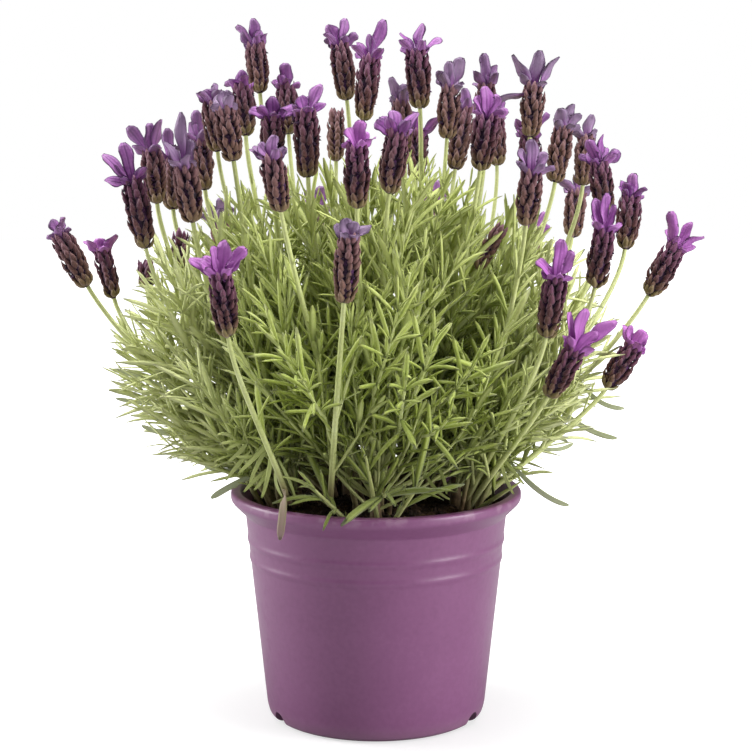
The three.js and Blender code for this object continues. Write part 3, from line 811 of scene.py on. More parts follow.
def floret_mesh():
    """A small flower with five lobes round a tube, of length 1 along X."""
    points, faces, sides = [], [], 10
    for x, radius, notch in ((0, 0.16, 1), (0.7, 0.2, 1), (1, 0.5, 0.55), (0.86, 0.22, 1)):
        for i in range(sides):
            angle = 2 * math.pi * i / sides
            lobe = 1 if i % 2 else notch
            points.append(vec(x, radius * lobe * math.cos(angle), radius * lobe * math.sin(angle)))
    for low in range(0, 3 * sides, sides):
        for i in range(sides):
            a, b = low + i, low + (i + 1) % sides
            faces.append([a, b, b + sides, a + sides])
    faces += [list(range(sides))[::-1], list(range(3 * sides, 4 * sides))]
    mesh = bpy.data.meshes.new("floret")
    mesh.from_pydata([tuple(point) for point in points], [], faces)
    return mesh


def add_ear(sheets, curve, head, half_width, growth):
    """A long bract on a spike's top: a thin ruffled sheet, narrow at its root and round at its tip, which
    twists on its way up towards the photograph's view."""
    outward = curve[-1] - curve[0]
    outward = outward - head["axis"] * (outward @ head["axis"])
    flat = unit(np.cross(outward, head["axis"]))
    turned = np.cross(unit(curve[-1] - curve[0]), vec(0, -1, 0))
    turned = turned * (1 if turned @ flat > 0 else -1)
    phase, ruffle = growth.uniform(0, 6), growth.uniform(0.5, 0.95)
    twist = FACING * growth.uniform(0.5, 1.2)
    bend = growth.gauss(0, 0.9)

    def place(t, u, side):
        tangent = heading(curve, t)
        across = flat + (turned - flat) * twist * ease(t / 0.5)
        across = unit(across - tangent * (across @ tangent))
        face = np.cross(across, tangent)
        swell = 0.34 + 0.66 * ease(t / 0.6)
        width = half_width * swell * math.sqrt(max(1 - max(0, (t - 0.66) / 0.36) ** 2, 0.03))
        width *= 1 + 0.14 * math.sin(phase * 3 + 11 * t + (2 if u > 0 else 0))
        wave = ruffle * math.sin(phase + 8.5 * t + (1.8 if u > 0 else 0)) * abs(u) * ease(t / 0.4)
        cup = 0.3 * half_width * u * u * (1.2 - t)
        lean = across * bend * t * t
        return bezier(curve, t) + lean + across * u * width + face * (wave + cup + 0.16 * side)

    sheets.add(10, 4, place, growth.random())


# Pieces: how a mesh, or a tree of nodes grown over it, becomes one


def linked(name, data):
    """A new object in the scene."""
    made = bpy.data.objects.new(name, data)
    bpy.context.scene.collection.objects.link(made)
    return made


def piece(name, mesh, nodes, materials=()):
    """A piece of the looks, which takes the place of some nodes of the model."""
    made = linked(name, mesh)
    for material in materials:
        mesh.materials.append(material)
    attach(made, "root")
    if nodes:
        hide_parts(*nodes)


def helper(name, mesh):
    """An object that trees of nodes take shapes from. It is taken away before the end."""
    made = linked(name, mesh)
    made.hide_render = True
    return made


def grown(name, mesh, group, values):
    """The mesh that a geometry group grows from another. values has the group's inputs by their names."""
    seed = helper(name + "_seed", mesh)
    modifier = seed.modifiers.new("grow", "NODES")
    modifier.node_group = group
    for item in group.interface.items_tree:
        if item.item_type == "SOCKET" and item.in_out == "INPUT" and item.name in values:
            modifier[item.identifier] = values[item.name]
    depsgraph = bpy.context.evaluated_depsgraph_get()
    evaluated = seed.evaluated_get(depsgraph)
    made = bpy.data.meshes.new_from_object(evaluated, preserve_all_data_layers=True, depsgraph=depsgraph)
    made.name = name
    bpy.data.objects.remove(seed)
    return made


# The pot and the soil


def rounded(corners, steps=4):
    """An outline through corners of (radius, height, rounding). Rounding is where a corner's ease begins."""
    points = []
    for i, (radius, height, rounding) in enumerate(corners):
        corner = np.array((radius, height), float)
        if not rounding:
            points.append(corner)
            continue
        sides = [np.array(corners[j][:2], float) - corner for j in (i - 1, i + 1)]
        start, end = (corner + unit(side) * min(rounding, np.linalg.norm(side) * 0.48) for side in sides)
        points += [bezier([start, corner, end], k / steps) for k in range(steps + 1)]
    return points


def lathe(name, outline, sides, lift=None):
    """A closed body round the pot's axis. Its outline runs from the axis below to the axis above, and lift
    gives a point its height."""
    points = [vec(0, 0, outline[0][1])]
    for radius, height in outline[1:-1]:
        for i in range(sides):
            angle = 2 * math.pi * i / sides
            points.append(vec(radius * math.cos(angle), radius * math.sin(angle), height))
    points.append(vec(0, 0, outline[-1][1]))
    if lift:
        points = [vec(x, y, lift(x, y, z)) for x, y, z in points]
    last, faces = len(points) - 1, []
    for i in range(sides):
        j = (i + 1) % sides
        faces.append([0, 1 + j, 1 + i])
        faces.append([last, last - sides + i, last - sides + j])
        for low in range(1, last - sides, sides):
            faces.append([low + i, low + j, low + sides + j, low + sides + i])
    mesh = bpy.data.meshes.new(name)
    mesh.from_pydata([tuple(point * MM) for point in points], [], faces)
    return mesh


def cut(mesh, cutters):
    """A mesh with the shapes of some objects cut out of it."""
    body = helper("uncut", mesh)
    for cutter in cutters:
        modifier = body.modifiers.new("cut", "BOOLEAN")
        modifier.solver = "EXACT"
        modifier.object = cutter
    depsgraph = bpy.context.evaluated_depsgraph_get()
    made = bpy.data.meshes.new_from_object(body.evaluated_get(depsgraph))
    for used in (body, *cutters):
        bpy.data.objects.remove(used)
    return made


def drain_cutter(angle):
    """A rod along a radius of the pot, which cuts a notch for water at the foot of its wall."""
    shape = bmesh.new()
    bmesh.ops.create_cone(
        shape,
        cap_ends=True,
        segments=DRAIN_SIDES,
        radius1=DRAIN_RADIUS * MM,
        radius2=DRAIN_RADIUS * MM,
        depth=DRAIN_LENGTH * MM,
    )
    mesh = bpy.data.meshes.new("drain")
    shape.to_mesh(mesh)
    shape.free()
    rod = helper("drain", mesh)
    turn = Matrix.Rotation(math.radians(angle), 4, "Z")
    place = Matrix.Translation(Vector((BASE_RADIUS, 0, DRAIN_CENTRE_HEIGHT)) * MM)
    mesh.transform(turn @ place @ Matrix.Rotation(math.pi / 2, 4, "Y"))
    return rod


def pot_mesh():
    rings = []
    for height in RING_HEIGHTS:
        low, high = height - RING_HALF_WIDTH, height + RING_HALF_WIDTH
        rings += [
            (wall_radius(low), low, 1),
            (wall_radius(height) + RING_DEPTH, height, 1.3),
            (wall_radius(high), high, 1),
        ]
    outline = rounded([
        (0, UNDERSIDE_RECESS, 0),
        (BASE_RADIUS - FOOT_RING_WIDTH, UNDERSIDE_RECESS, 0.4),
        (BASE_RADIUS - FOOT_RING_WIDTH - 0.5, 0, 0.3),
        (BASE_RADIUS + 1, 0, 1.2),
        (WALL_FOOT_RADIUS - 1, 1.5, 1.2),
        (WALL_FOOT_RADIUS, CORNER_HEIGHT, 1.5),
        *rings,
        (NECK_RADIUS, NECK_HEIGHT, 0.9),
        (NECK_RADIUS + COLLAR_FLARE, NECK_HEIGHT + COLLAR_FLARE, 0.9),
        (RIM_RADIUS - 0.7, POT_HEIGHT - LIP_HEIGHT - 0.7, 0.5),
        (RIM_RADIUS, POT_HEIGHT - LIP_HEIGHT + 0.4, 0.6),
        (RIM_RADIUS, POT_HEIGHT, 1.6),
        (MOUTH_RADIUS + 0.6, POT_HEIGHT, 0.8),
        (MOUTH_RADIUS - 0.3, POT_HEIGHT - 2, 0.8),
        (NECK_RADIUS - WALL, NECK_HEIGHT, 1.5),
        (WALL_FOOT_RADIUS - WALL, CORNER_HEIGHT, 2),
        (BASE_RADIUS - FLOOR_INSET, FLOOR, 1),
        (0, FLOOR, 0),
    ])
    mesh = cut(lathe("nursery_pot", outline, POT_SIDES), [drain_cutter(angle) for angle in DRAIN_ANGLES])
    mesh.shade_smooth()
    mesh.set_sharp_from_angle(angle=POT_CREASE)
    return mesh


def soil_mesh():
    """The potting soil: it fills the pot to its top, which is rough all over."""
    edge = wall_radius(SOIL_EDGE_HEIGHT) - WALL - GAP
    foot = WALL_FOOT_RADIUS - WALL - GAP
    outline = [
        (0, FLOOR + GAP),
        (BASE_RADIUS - FLOOR_INSET - GAP, FLOOR + GAP),
        (foot, CORNER_HEIGHT + GAP),
        *((edge * share, SOIL_EDGE_HEIGHT - 1) for share in np.linspace(1, 0, SOIL_RINGS)),
    ]

    def lift(x, y, z):
        if z < SOIL_EDGE_HEIGHT / 2:
            return z
        fine = sum(noise.noise(Vector((x, y, level)) * scale) * rise for level, scale, rise in SOIL_NOISE)
        return soil_height(x, y) + fine * min(1, 1.06 - math.hypot(x, y) / edge)

    mesh = lathe("potting_soil", outline, SOIL_SIDES, lift)
    mesh.shade_smooth()
    return mesh


def crumbs_group():
    """Crumbs of soil strewn on the top of a mesh, clear of its edge."""
    tree = Tree.group("Soil crumbs", "GeometryNodeTree", {
        "Geometry": "Geometry",
        "Lowest": 0.09,
        "Reach": 0.05,
        "Crumbs per Square Metre": 90000.0,
        "Crumb Size": 0.0013,
        "Roughness": 0.45,
        "Grain": 900.0,
        "Soil": "Material",
        "Seed": 1,
    }, {"Geometry": "Geometry"})
    takes = tree.takes
    place = tree.add("GeometryNodeInputPosition")[0]
    x, y, height = tree.separated(place)
    away = tree.vector("LENGTH", tree.combined(x, y, 0.0))
    high = tree.compare(height, "GREATER_THAN", takes["Lowest"])
    near = tree.compare(away, "LESS_THAN", takes["Reach"])
    surface = tree.add("GeometryNodeSeparateGeometry", {
        "Geometry": takes["Geometry"],
        "Selection": tree.boolean(high, "AND", near),
    }, domain="FACE")[0]
    strewn = tree.add("GeometryNodeDistributePointsOnFaces", {
        "Mesh": surface,
        "Density": takes["Crumbs per Square Metre"],
        "Seed": takes["Seed"],
    }, distribute_method="RANDOM")
    size = tree.times(takes["Crumb Size"], tree.math("POWER", tree.random(0.55, 1.25, 4), 2.0))
    turns, sides = {1: (6.28, 6.28, 6.28)}, {0: (0.5, 0.4, 0.35), 1: (1.5, 1.2, 0.9)}
    turn = tree.add("FunctionNodeRandomValue", turns, data_type="FLOAT_VECTOR")[0]
    shape = tree.add("FunctionNodeRandomValue", sides, data_type="FLOAT_VECTOR")[0]
    crumbs = tree.copies(
        Points=strewn["Points"],
        Instance=tree.add("GeometryNodeMeshIcoSphere", {"Radius": 1.0, "Subdivisions": 1})[0],
        Rotation=turn,
        Scale=tree.scaled(shape, size),
    )
    crumbs = tree.store(crumbs, "tint", tree.random(0.0, 1.0, 7))
    crumbs = tree.realized(tree.store(crumbs, "crumb", size))
    wobble = tree.vector("SUBTRACT", tree.noise(place, takes["Grain"], 1.0)["Color"], (0.5, 0.5, 0.5))
    reach = tree.times(tree.attribute("crumb"), takes["Roughness"])
    rough = tree.moved(crumbs, Offset=tree.scaled(wobble, reach))
    return tree.give(Geometry=tree.finished(tree.join(takes["Geometry"], rough), "Soil"))


# The leafy stems


def stem_line(curve, **stops):
    """Points along a stem, each with what the stem is like there. What is given as (t, value) stops goes
    evenly from one to the next."""
    length = sum(np.linalg.norm(b - a) for a, b in zip(curve, curve[1:]))
    count = max(4, round(length / LINE_STEP))
    ts = [i / count for i in range(count + 1)]
    line = {name: np.interp(ts, *zip(*pairs)).tolist() for name, pairs in stops.items()}
    line["points"] = [bezier(curve, t) for t in ts]
    return line


def straighter(stem, hole, surroundings, growth):
    """A stem's curve from a place of its own in the soil beside its branch's, bent only near its top, or as
    the model has it if a flower head is in the way."""
    second, end = stem["curve"][-2:]
    sideways = (end - hole) * vec(1, 1, 0)
    base = hole + sideways * min(1, BASE_REACH / np.linalg.norm(sideways)) * growth.uniform(*BASE_SHARES)
    base = base + vec(growth.uniform(*BASE_SHIFTS), growth.uniform(*BASE_SHIFTS), -BASE_DEPTH)
    if stem["base"]:
        base = from_view(*stem["base"])
    length = np.linalg.norm(end - base)
    axis = unit(end - second)
    leave = unit(end - base + UP * length * 0.12)
    curve = [base, base + leave * length * 0.35, end - axis * length * 0.2, end]
    path = [bezier(curve, t) for t in np.linspace(*CHECKED_PART)]
    return curve if clear_path(surroundings, path) else stem["curve"]


def main_stem(stem, curve):
    """A stem up to its spike or its own leafy tip."""
    if not stem["flowering"]:
        return stem_line(
            curve,
            girth=((0, 1.2), (0.5, 0.95), (1, 0.4)),
            size=((0, 0), (0.16, 0), (0.26, 0.7), (0.5, 1), (0.8, 0.95), (1, 0.5)),
            dense=((0, 0.85), (1, 0.95)),
            spread=((0, 48), (0.6, 34), (1, 14)),
            wood=((0, 1), (0.35, 0)),
        )
    start, first, second, end = curve
    return stem_line(
        [start, first, second, end + unit(end - second) * (GAP + STEM_SINK)],
        girth=((0, 1.35), (0.5, 1.2), (1, 0.95)),
        size=((0, 0), (0.16, 0), (0.26, 0.6), (0.45, 0.95), (0.6, 0.85), (0.82, 0.4), (0.83, 0), (1, 0)),
        dense=((0, 0.4), (0.5, 0.5), (0.8, 0.7)),
        spread=((0, 50), (0.5, 34), (0.8, 18)),
        wood=((0, 0.8), (0.25, 0)),
    )


def shoot(start, way, length, growth, bare=0.05):
    """A leafy shoot that leaves in a direction and turns up, bare for a share of its length."""
    middle = start + way * length * 0.5
    rise = unit(way * 0.55 + UP * 0.45 + vec(*(growth.gauss(0, 0.12) for _ in range(3))))
    top = growth.uniform(0.75, 1)
    return stem_line(
        [start, middle, middle + rise * length * 0.5],
        girth=SHOOT_GIRTH,
        size=((0, 0), (bare, 0), (bare + 0.08, 0.6), (0.6, 0.95 * top), (1, 0.5 * top)),
        dense=((0, 0.9), (1, 1)),
        spread=((0, 48), (0.5, 34), (1, 12)),
        wood=SHOOT_WOOD,
    )


def in_dome(point, shrink=0):
    """Whether a point is inside the rounded mass of the foliage, or as far inside it as shrink says."""
    x, y, z = point - vec(*FOLIAGE_CENTRE)
    z += FRONT_LIFT * min(y, 0)
    span = (FOLIAGE_RISE if z > 0 else FOLIAGE_DROP) - shrink
    across = math.hypot(x, y * (FRONT_SQUEEZE if y < 0 else 1)) / (FOLIAGE_RADIUS - shrink)
    return across ** 2 + (z / span) ** 2 < 1


def kept_inside(curve):
    """A leafy stem's curve, drawn in towards its base until its tip is inside the foliage's mass."""
    base = curve[0]
    for _ in range(DRAW_IN_TRIES):
        if in_dome(curve[-1], EDGE_MARGIN):
            break
        curve = [base + (point - base) * DRAW_IN for point in curve]
    return curve


def clear_path(surroundings, points):
    """Whether a path of points misses the pot, the soil and the flower heads."""
    for a, b in zip(points, points[1:]):
        way = Vector((b - a) * MM)
        if surroundings.ray_cast(Vector(a * MM), way.normalized(), way.length + PATH_CLEARANCE * MM)[0]:
            return False
        if surroundings.find_nearest(Vector(b * MM))[3] < PATH_CLEARANCE * MM:
            return False
    return True


def place_shoots(wanted, tries, make, margin, surroundings):
    """What make makes, until as many shoots as wanted are well inside the foliage's mass and clear of what
    is round them, or the tries run out."""
    kept = []
    for _ in range(tries):
        if len(kept) == wanted:
            break
        line = make()
        points = line["points"]
        outer_half = points[len(points) // 2:]
        if all(in_dome(point, margin) for point in outer_half) and clear_path(surroundings, points):
            kept.append(line)
    return kept


def edge_shoot(tip, depth, lines_of_branches, surroundings, growth, free=0):
    """Adds a shoot that ends where the photograph shows one at the foliage's edge, from the stem that
    comes nearest to its root. A free one keeps the leaves that reach out of the foliage's mass."""
    tip = from_view(tip, depth)
    root = tip + unit(vec(0, 0, MOUTH_HEIGHT) - tip) * growth.uniform(*EDGE_LENGTHS)
    near = [(np.linalg.norm(point - root), i, tuple(point)) for i, lines in enumerate(lines_of_branches)
            for line in lines for point in line["points"][1:-1]]
    _, i, start = min(near)
    start = vec(*start)
    sag = np.linalg.norm(tip - start) * growth.uniform(*EDGE_SAGS)
    middle = start + (tip - start) * 0.5 - UP * sag
    line = stem_line(
        [start, middle, tip],
        girth=SHOOT_GIRTH,
        size=((0, 0), (0.08, 0.6), (0.6, 1 - FREE_TAPER * free), (1, 0.6)),
        dense=((0, 0.95), (1, 1)),
        spread=((0, 46), (0.5, 36), (1, 12)),
        wood=SHOOT_WOOD,
    )
    line["free"] = free
    if free:
        line["phase"] = growth.uniform(0, 2 * math.pi)
    if clear_path(surroundings, line["points"]):
        lines_of_branches[i].append(line)


def free_low_front(lines_of_branches):
    """Lets the shoots low in front keep all their leaves, so that none stands bare over the rim."""
    for line in (line for lines in lines_of_branches for line in lines):
        _, depth, height = line["points"][-1]
        if depth < LOW_FRONT_DEPTH and height < LOW_FRONT_HEIGHT:
            line["free"] = 1


def branch_lines(branch, surroundings, growth):
    """The lines of all the stems that leave the soil at one place."""
    base = branch["hole"]
    trunk = stem_line(
        [base - UP * TRUNK_DEPTH, base, base + UP * (TRUNK_RISE + 2)],
        girth=((0, 3), (0.6, 2.6), (1, 1.5)),
        size=((0, 0), (1, 0)),
        dense=((0, 0), (1, 0)),
        spread=((0, 60), (1, 60)),
        wood=((0, 1), (1, 1)),
    )
    lines = [trunk]
    for stem in branch["stems"]:
        curve = straighter(stem, base, surroundings, growth)
        if not stem["flowering"]:
            curve = kept_inside(curve)
        lines.append(main_stem(stem, curve))

        def side_shoot():
            t = growth.uniform(*SIDE_SHOOT_PLACES)
            way = heading(curve, t)
            side = unit(np.cross(way, vec(*(growth.gauss(0, 1) for _ in range(3)))))
            angle = math.radians(growth.uniform(*SIDE_SHOOT_ANGLES))
            way = way * math.cos(angle) + side * math.sin(angle)
            return shoot(bezier(curve, t), way, growth.uniform(*SIDE_SHOOT_LENGTHS), growth)

        wanted = SIDE_SHOOTS + (0 if stem["flowering"] else 1)
        lines += place_shoots(wanted, wanted * SIDE_TRIES, side_shoot, SIDE_MARGIN, surroundings)
    outward = math.atan2(base[1], base[0])
    inner = math.hypot(base[0], base[1]) < INNER_REACH
    sway = INNER_SWAY if inner else OUTER_SWAY
    for wanted, slopes, lengths in INNER_FANS if inner else OUTER_FANS:

        def fan_shoot():
            angle = outward + growth.gauss(0, sway)
            slope = math.radians(growth.uniform(*slopes))
            way = vec(math.cos(angle) * math.cos(slope), math.sin(angle) * math.cos(slope), math.sin(slope))
            start = base + UP * growth.uniform(LOWEST_FORK, TRUNK_RISE)
            return shoot(start, way, growth.uniform(*lengths), growth, growth.uniform(*FAN_BARE))

        lines += place_shoots(wanted, wanted * FAN_TRIES, fan_shoot, EDGE_MARGIN, surroundings)
    return lines


def lines_mesh(name, lines, growth):
    """A mesh of edges only, which holds what each line is like at each of its points."""
    points, edges = [], []
    marks = {mark: [] for mark in (*LINE_MARKS, "phase", "free")}
    for line in lines:
        first, count = len(points), len(line["points"])
        phase = line["phase"] if "phase" in line else growth.uniform(0, 2 * math.pi)
        points += [tuple(point * MM) for point in line["points"]]
        edges += [(first + i, first + i + 1) for i in range(count - 1)]
        for mark, scale in LINE_MARKS.items():
            marks[mark] += [value * scale for value in line[mark]]
        marks["phase"] += [phase] * count
        marks["free"] += [line.get("free", 0)] * count
    mesh = bpy.data.meshes.new(name)
    mesh.from_pydata(points, edges, [])
    for mark, values in marks.items():
        mark_points(mesh, mark, values)
    return mesh


def leafy_group():
    """Round stems along lines, with leaves in crossed pairs and smaller ones between them."""
    tree = Tree.group("Leafy stems", "GeometryNodeTree", {
        "Geometry": "Geometry",
        "Leaf": "Object",
        "Keep Clear": "Object",
        "Stem Finish": "Material",
        "Leaf Finish": "Material",
        "Stem Sides": 6,
        "Leaf Spacing": 0.008,
        "Leaf Length": 0.028,
        "Shortest Leaf": 0.003,
        "Sag": 0.16,
        "Mass Centre": (0.0, 0.0, 0.155),
        "Mass Radius": 0.117,
        "Mass Rise": 0.085,
        "Mass Drop": 0.068,
        "Front Lift": 0.1,
        "Front Squeeze": 1.0,
        "Seed": 1,
    }, {"Geometry": "Geometry"})
    takes = tree.takes
    curves = tree.add("GeometryNodeMeshToCurve", {0: takes["Geometry"]})[0]
    stems = tree.add("GeometryNodeCurveToMesh", {
        "Curve": curves,
        "Profile Curve": tree.add("GeometryNodeCurvePrimitiveCircle", {0: takes["Stem Sides"], 4: 1.0})[0],
        "Scale": tree.attribute("girth"),
        "Fill Caps": True,
    })[0]
    stems = tree.finished(stems, "Stem Finish")
    spaced = {"Curve": curves, "Length": takes["Leaf Spacing"]}
    nodes = tree.add("GeometryNodeResampleCurve", spaced, mode="LENGTH")[0]
    tangent = tree.add("GeometryNodeInputTangent")[0]
    normal = tree.add("GeometryNodeInputNormal")[0]
    binormal = tree.vector("CROSS_PRODUCT", tangent, normal)
    step = tree.add("GeometryNodeSplineParameter")["Index"]
    place = tree.add("GeometryNodeInputPosition")[0]
    leaf, surroundings = tree.shape_of("Leaf"), tree.shape_of("Keep Clear")

    def inside(point):
        """Whether a point is inside the rounded mass that the leaves fill."""
        x, y, z = tree.separated(tree.vector("SUBTRACT", point, takes["Mass Centre"]))
        front, back = tree.math("MINIMUM", y, 0.0), tree.math("MAXIMUM", y, 0.0)
        above = tree.plus(z, tree.times(front, takes["Front Lift"]))
        total = 0.0
        for reach, span in (
            (tree.math("MAXIMUM", above, 0.0), "Mass Rise"),
            (tree.math("MINIMUM", above, 0.0), "Mass Drop"),
            (x, "Mass Radius"),
            (tree.math("MULTIPLY_ADD", front, takes["Front Squeeze"], back), "Mass Radius"),
        ):
            share = tree.math("DIVIDE", reach, takes[span])
            total = tree.math("MULTIPLY_ADD", share, share, total)
        return tree.compare(total, "LESS_THAN", 1.0)

    def leaves_at(angle, share, seed):
        """Leaves at one seat of each node, where they are wanted and nothing is in their way."""
        turn = tree.math("MULTIPLY_ADD", step, math.pi / 2, math.radians(angle))
        turn = tree.plus(turn, tree.attribute("phase"))
        cos, sin = tree.cos_sin(tree.plus(turn, tree.random(-0.35, 0.35, seed + 1)))
        radial = tree.both(normal, cos, binormal, sin)
        cos, sin = tree.cos_sin(tree.times(tree.attribute("spread"), tree.random(0.7, 1.25, seed + 2)))
        reach = tree.both(tangent, cos, radial, sin)
        face = tree.both(tangent, sin, radial, tree.times(cos, -1.0))
        length = tree.times(takes["Leaf Length"], tree.random(0.78 * share, 1.2 * share, seed + 3))
        length = tree.times(length, tree.attribute("size"))
        sag = tree.times(tree.times(length, takes["Sag"]), tree.random(0.0, 1.5, seed + 4))
        down = tree.combined(0.0, 0.0, tree.times(sag, -1.0))
        way = tree.vector("ADD", tree.scaled(reach, length), down)
        free = tree.compare(tree.attribute("free"), "GREATER_THAN", 0.5)
        kept = tree.boolean(inside(tree.vector("ADD", place, way)), "OR", free)
        grows = tree.compare(tree.random(0.0, 1.0, seed + 6), "LESS_THAN", tree.attribute("dense"))
        leafy = tree.compare(length, "GREATER_THAN", takes["Shortest Leaf"])
        kept = tree.boolean(kept, "AND", tree.boolean(leafy, "AND", grows))
        hit = tree.add("GeometryNodeRaycast", {
            "Target Geometry": surroundings,
            "Source Position": place,
            "Ray Direction": way,
            "Ray Length": tree.times(length, 1.1),
        })["Is Hit"]
        leaves = tree.copies(
            Points=nodes,
            Selection=tree.boolean(kept, "NIMPLY", hit),
            Instance=leaf,
            Rotation=tree.rotation(reach, "X", face, "Z"),
            Scale=length,
        )
        leaves = tree.store(leaves, "tint", tree.random(0.0, 1.0, seed + 5))
        return tree.store(leaves, "sag", sag)

    seats = [leaves_at(angle, share, 20 * number) for number, (angle, share) in enumerate(LEAF_SEATS)]
    leaves = tree.realized(tree.join(*seats))
    along = tree.attribute("along")
    fall = tree.times(tree.times(along, along), tree.attribute("sag"))
    leaves = tree.moved(leaves, Offset=tree.combined(0.0, 0.0, tree.times(fall, -1.0)))
    return tree.give(Geometry=tree.join(stems, tree.finished(leaves, "Leaf Finish")))


def long_leaf(sheets, stem_points, taper, tint, root, over, tip, half_width):
    """A long leaf read off the photograph: its root, the bend of its middle and its tip, each a pixel and a
    depth. It grows from the stem nearest to its root and narrows from the share taper of its length on."""
    root, over, tip = (from_view(spot[:2], spot[2]) for spot in (root, over, tip))
    root = stem_points[np.argmin(np.linalg.norm(stem_points - root, axis=1))]
    curve = [root, over, tip]

    def place(t, u, side):
        tangent = heading(curve, t)
        across = unit(np.cross(tangent, vec(0.35, 1, 0.3)))
        face = np.cross(across, tangent)
        end = max(0, (t - taper) / (1 - taper))
        width = half_width * (0.35 + 0.65 * ease(t / 0.4)) * math.sqrt(1 - 0.88 * end ** 2)
        return bezier(curve, t) + across * u * width + face * (0.2 * side - 0.4 * u * u)

    sheets.add(16, 4, place, tint)


def make_long_leaves(stem_points, finishes):
    """The long leaves at the foliage's edge and low over the rim, and the pale old one that hangs down."""
    for name, leaves, finish, taper in (
        ("outer_leaves", OUTER_LEAVES, "outer_leaf", 0.8),
        ("low_leaves", LOW_LEAVES, "low_leaf", 0.45),
        ("drooping_leaf", [DROOPING_LEAF], "old_leaf", 0.88),
    ):
        sheets = Sheets()
        for number, leaf in enumerate(leaves):
            tint = 0.5 + number * GOLDEN_SHARE % 1 * 0.4
            long_leaf(sheets, stem_points, taper, tint, *leaf)
        mesh = sheets.mesh(name)
        mesh.shade_smooth()
        piece(name, mesh, [], [finishes[finish]])


# The flower heads


def side_of(axis):
    """A direction square to a spike's axis."""
    return unit(np.cross(axis, vec(0.3, 1, 0.1)))


def bract_mesh(head, growth):
    """The long bracts of a head, and shorter ones at their feet."""
    sheets = Sheets()
    axis, top, radius = head["axis"], head["top"], head["radius"]
    for curve in head["ears"]:
        add_ear(sheets, curve, head, BRACT_HALF_WIDTH * growth.uniform(0.85, 1.15), growth)
    side = side_of(axis)
    other = np.cross(axis, side)
    low, high = np.array(CAD_LOW) / MM - BRACT_SPARE, np.array(CAD_HIGH) / MM + BRACT_SPARE
    for i in range(0 if head["bud"] else INNER_BRACTS):
        angle = i * GOLDEN_ANGLE + growth.uniform(-0.4, 0.4)
        outward = side * math.cos(angle) + other * math.sin(angle)
        root = top - axis * INNER_SINK + outward * radius * 0.3
        length = growth.uniform(*INNER_LENGTHS)
        middle = root + (axis * 0.95 + outward * 0.2) * length * 0.5
        tip = root + unit(axis + outward * growth.uniform(*INNER_SPREADS)) * length
        tip = np.clip(tip, low, high)
        add_ear(sheets, [root, middle, tip], head, INNER_HALF_WIDTH * growth.uniform(0.8, 1.15), growth)
    return sheets.mesh(f"{head['name']}_bracts")


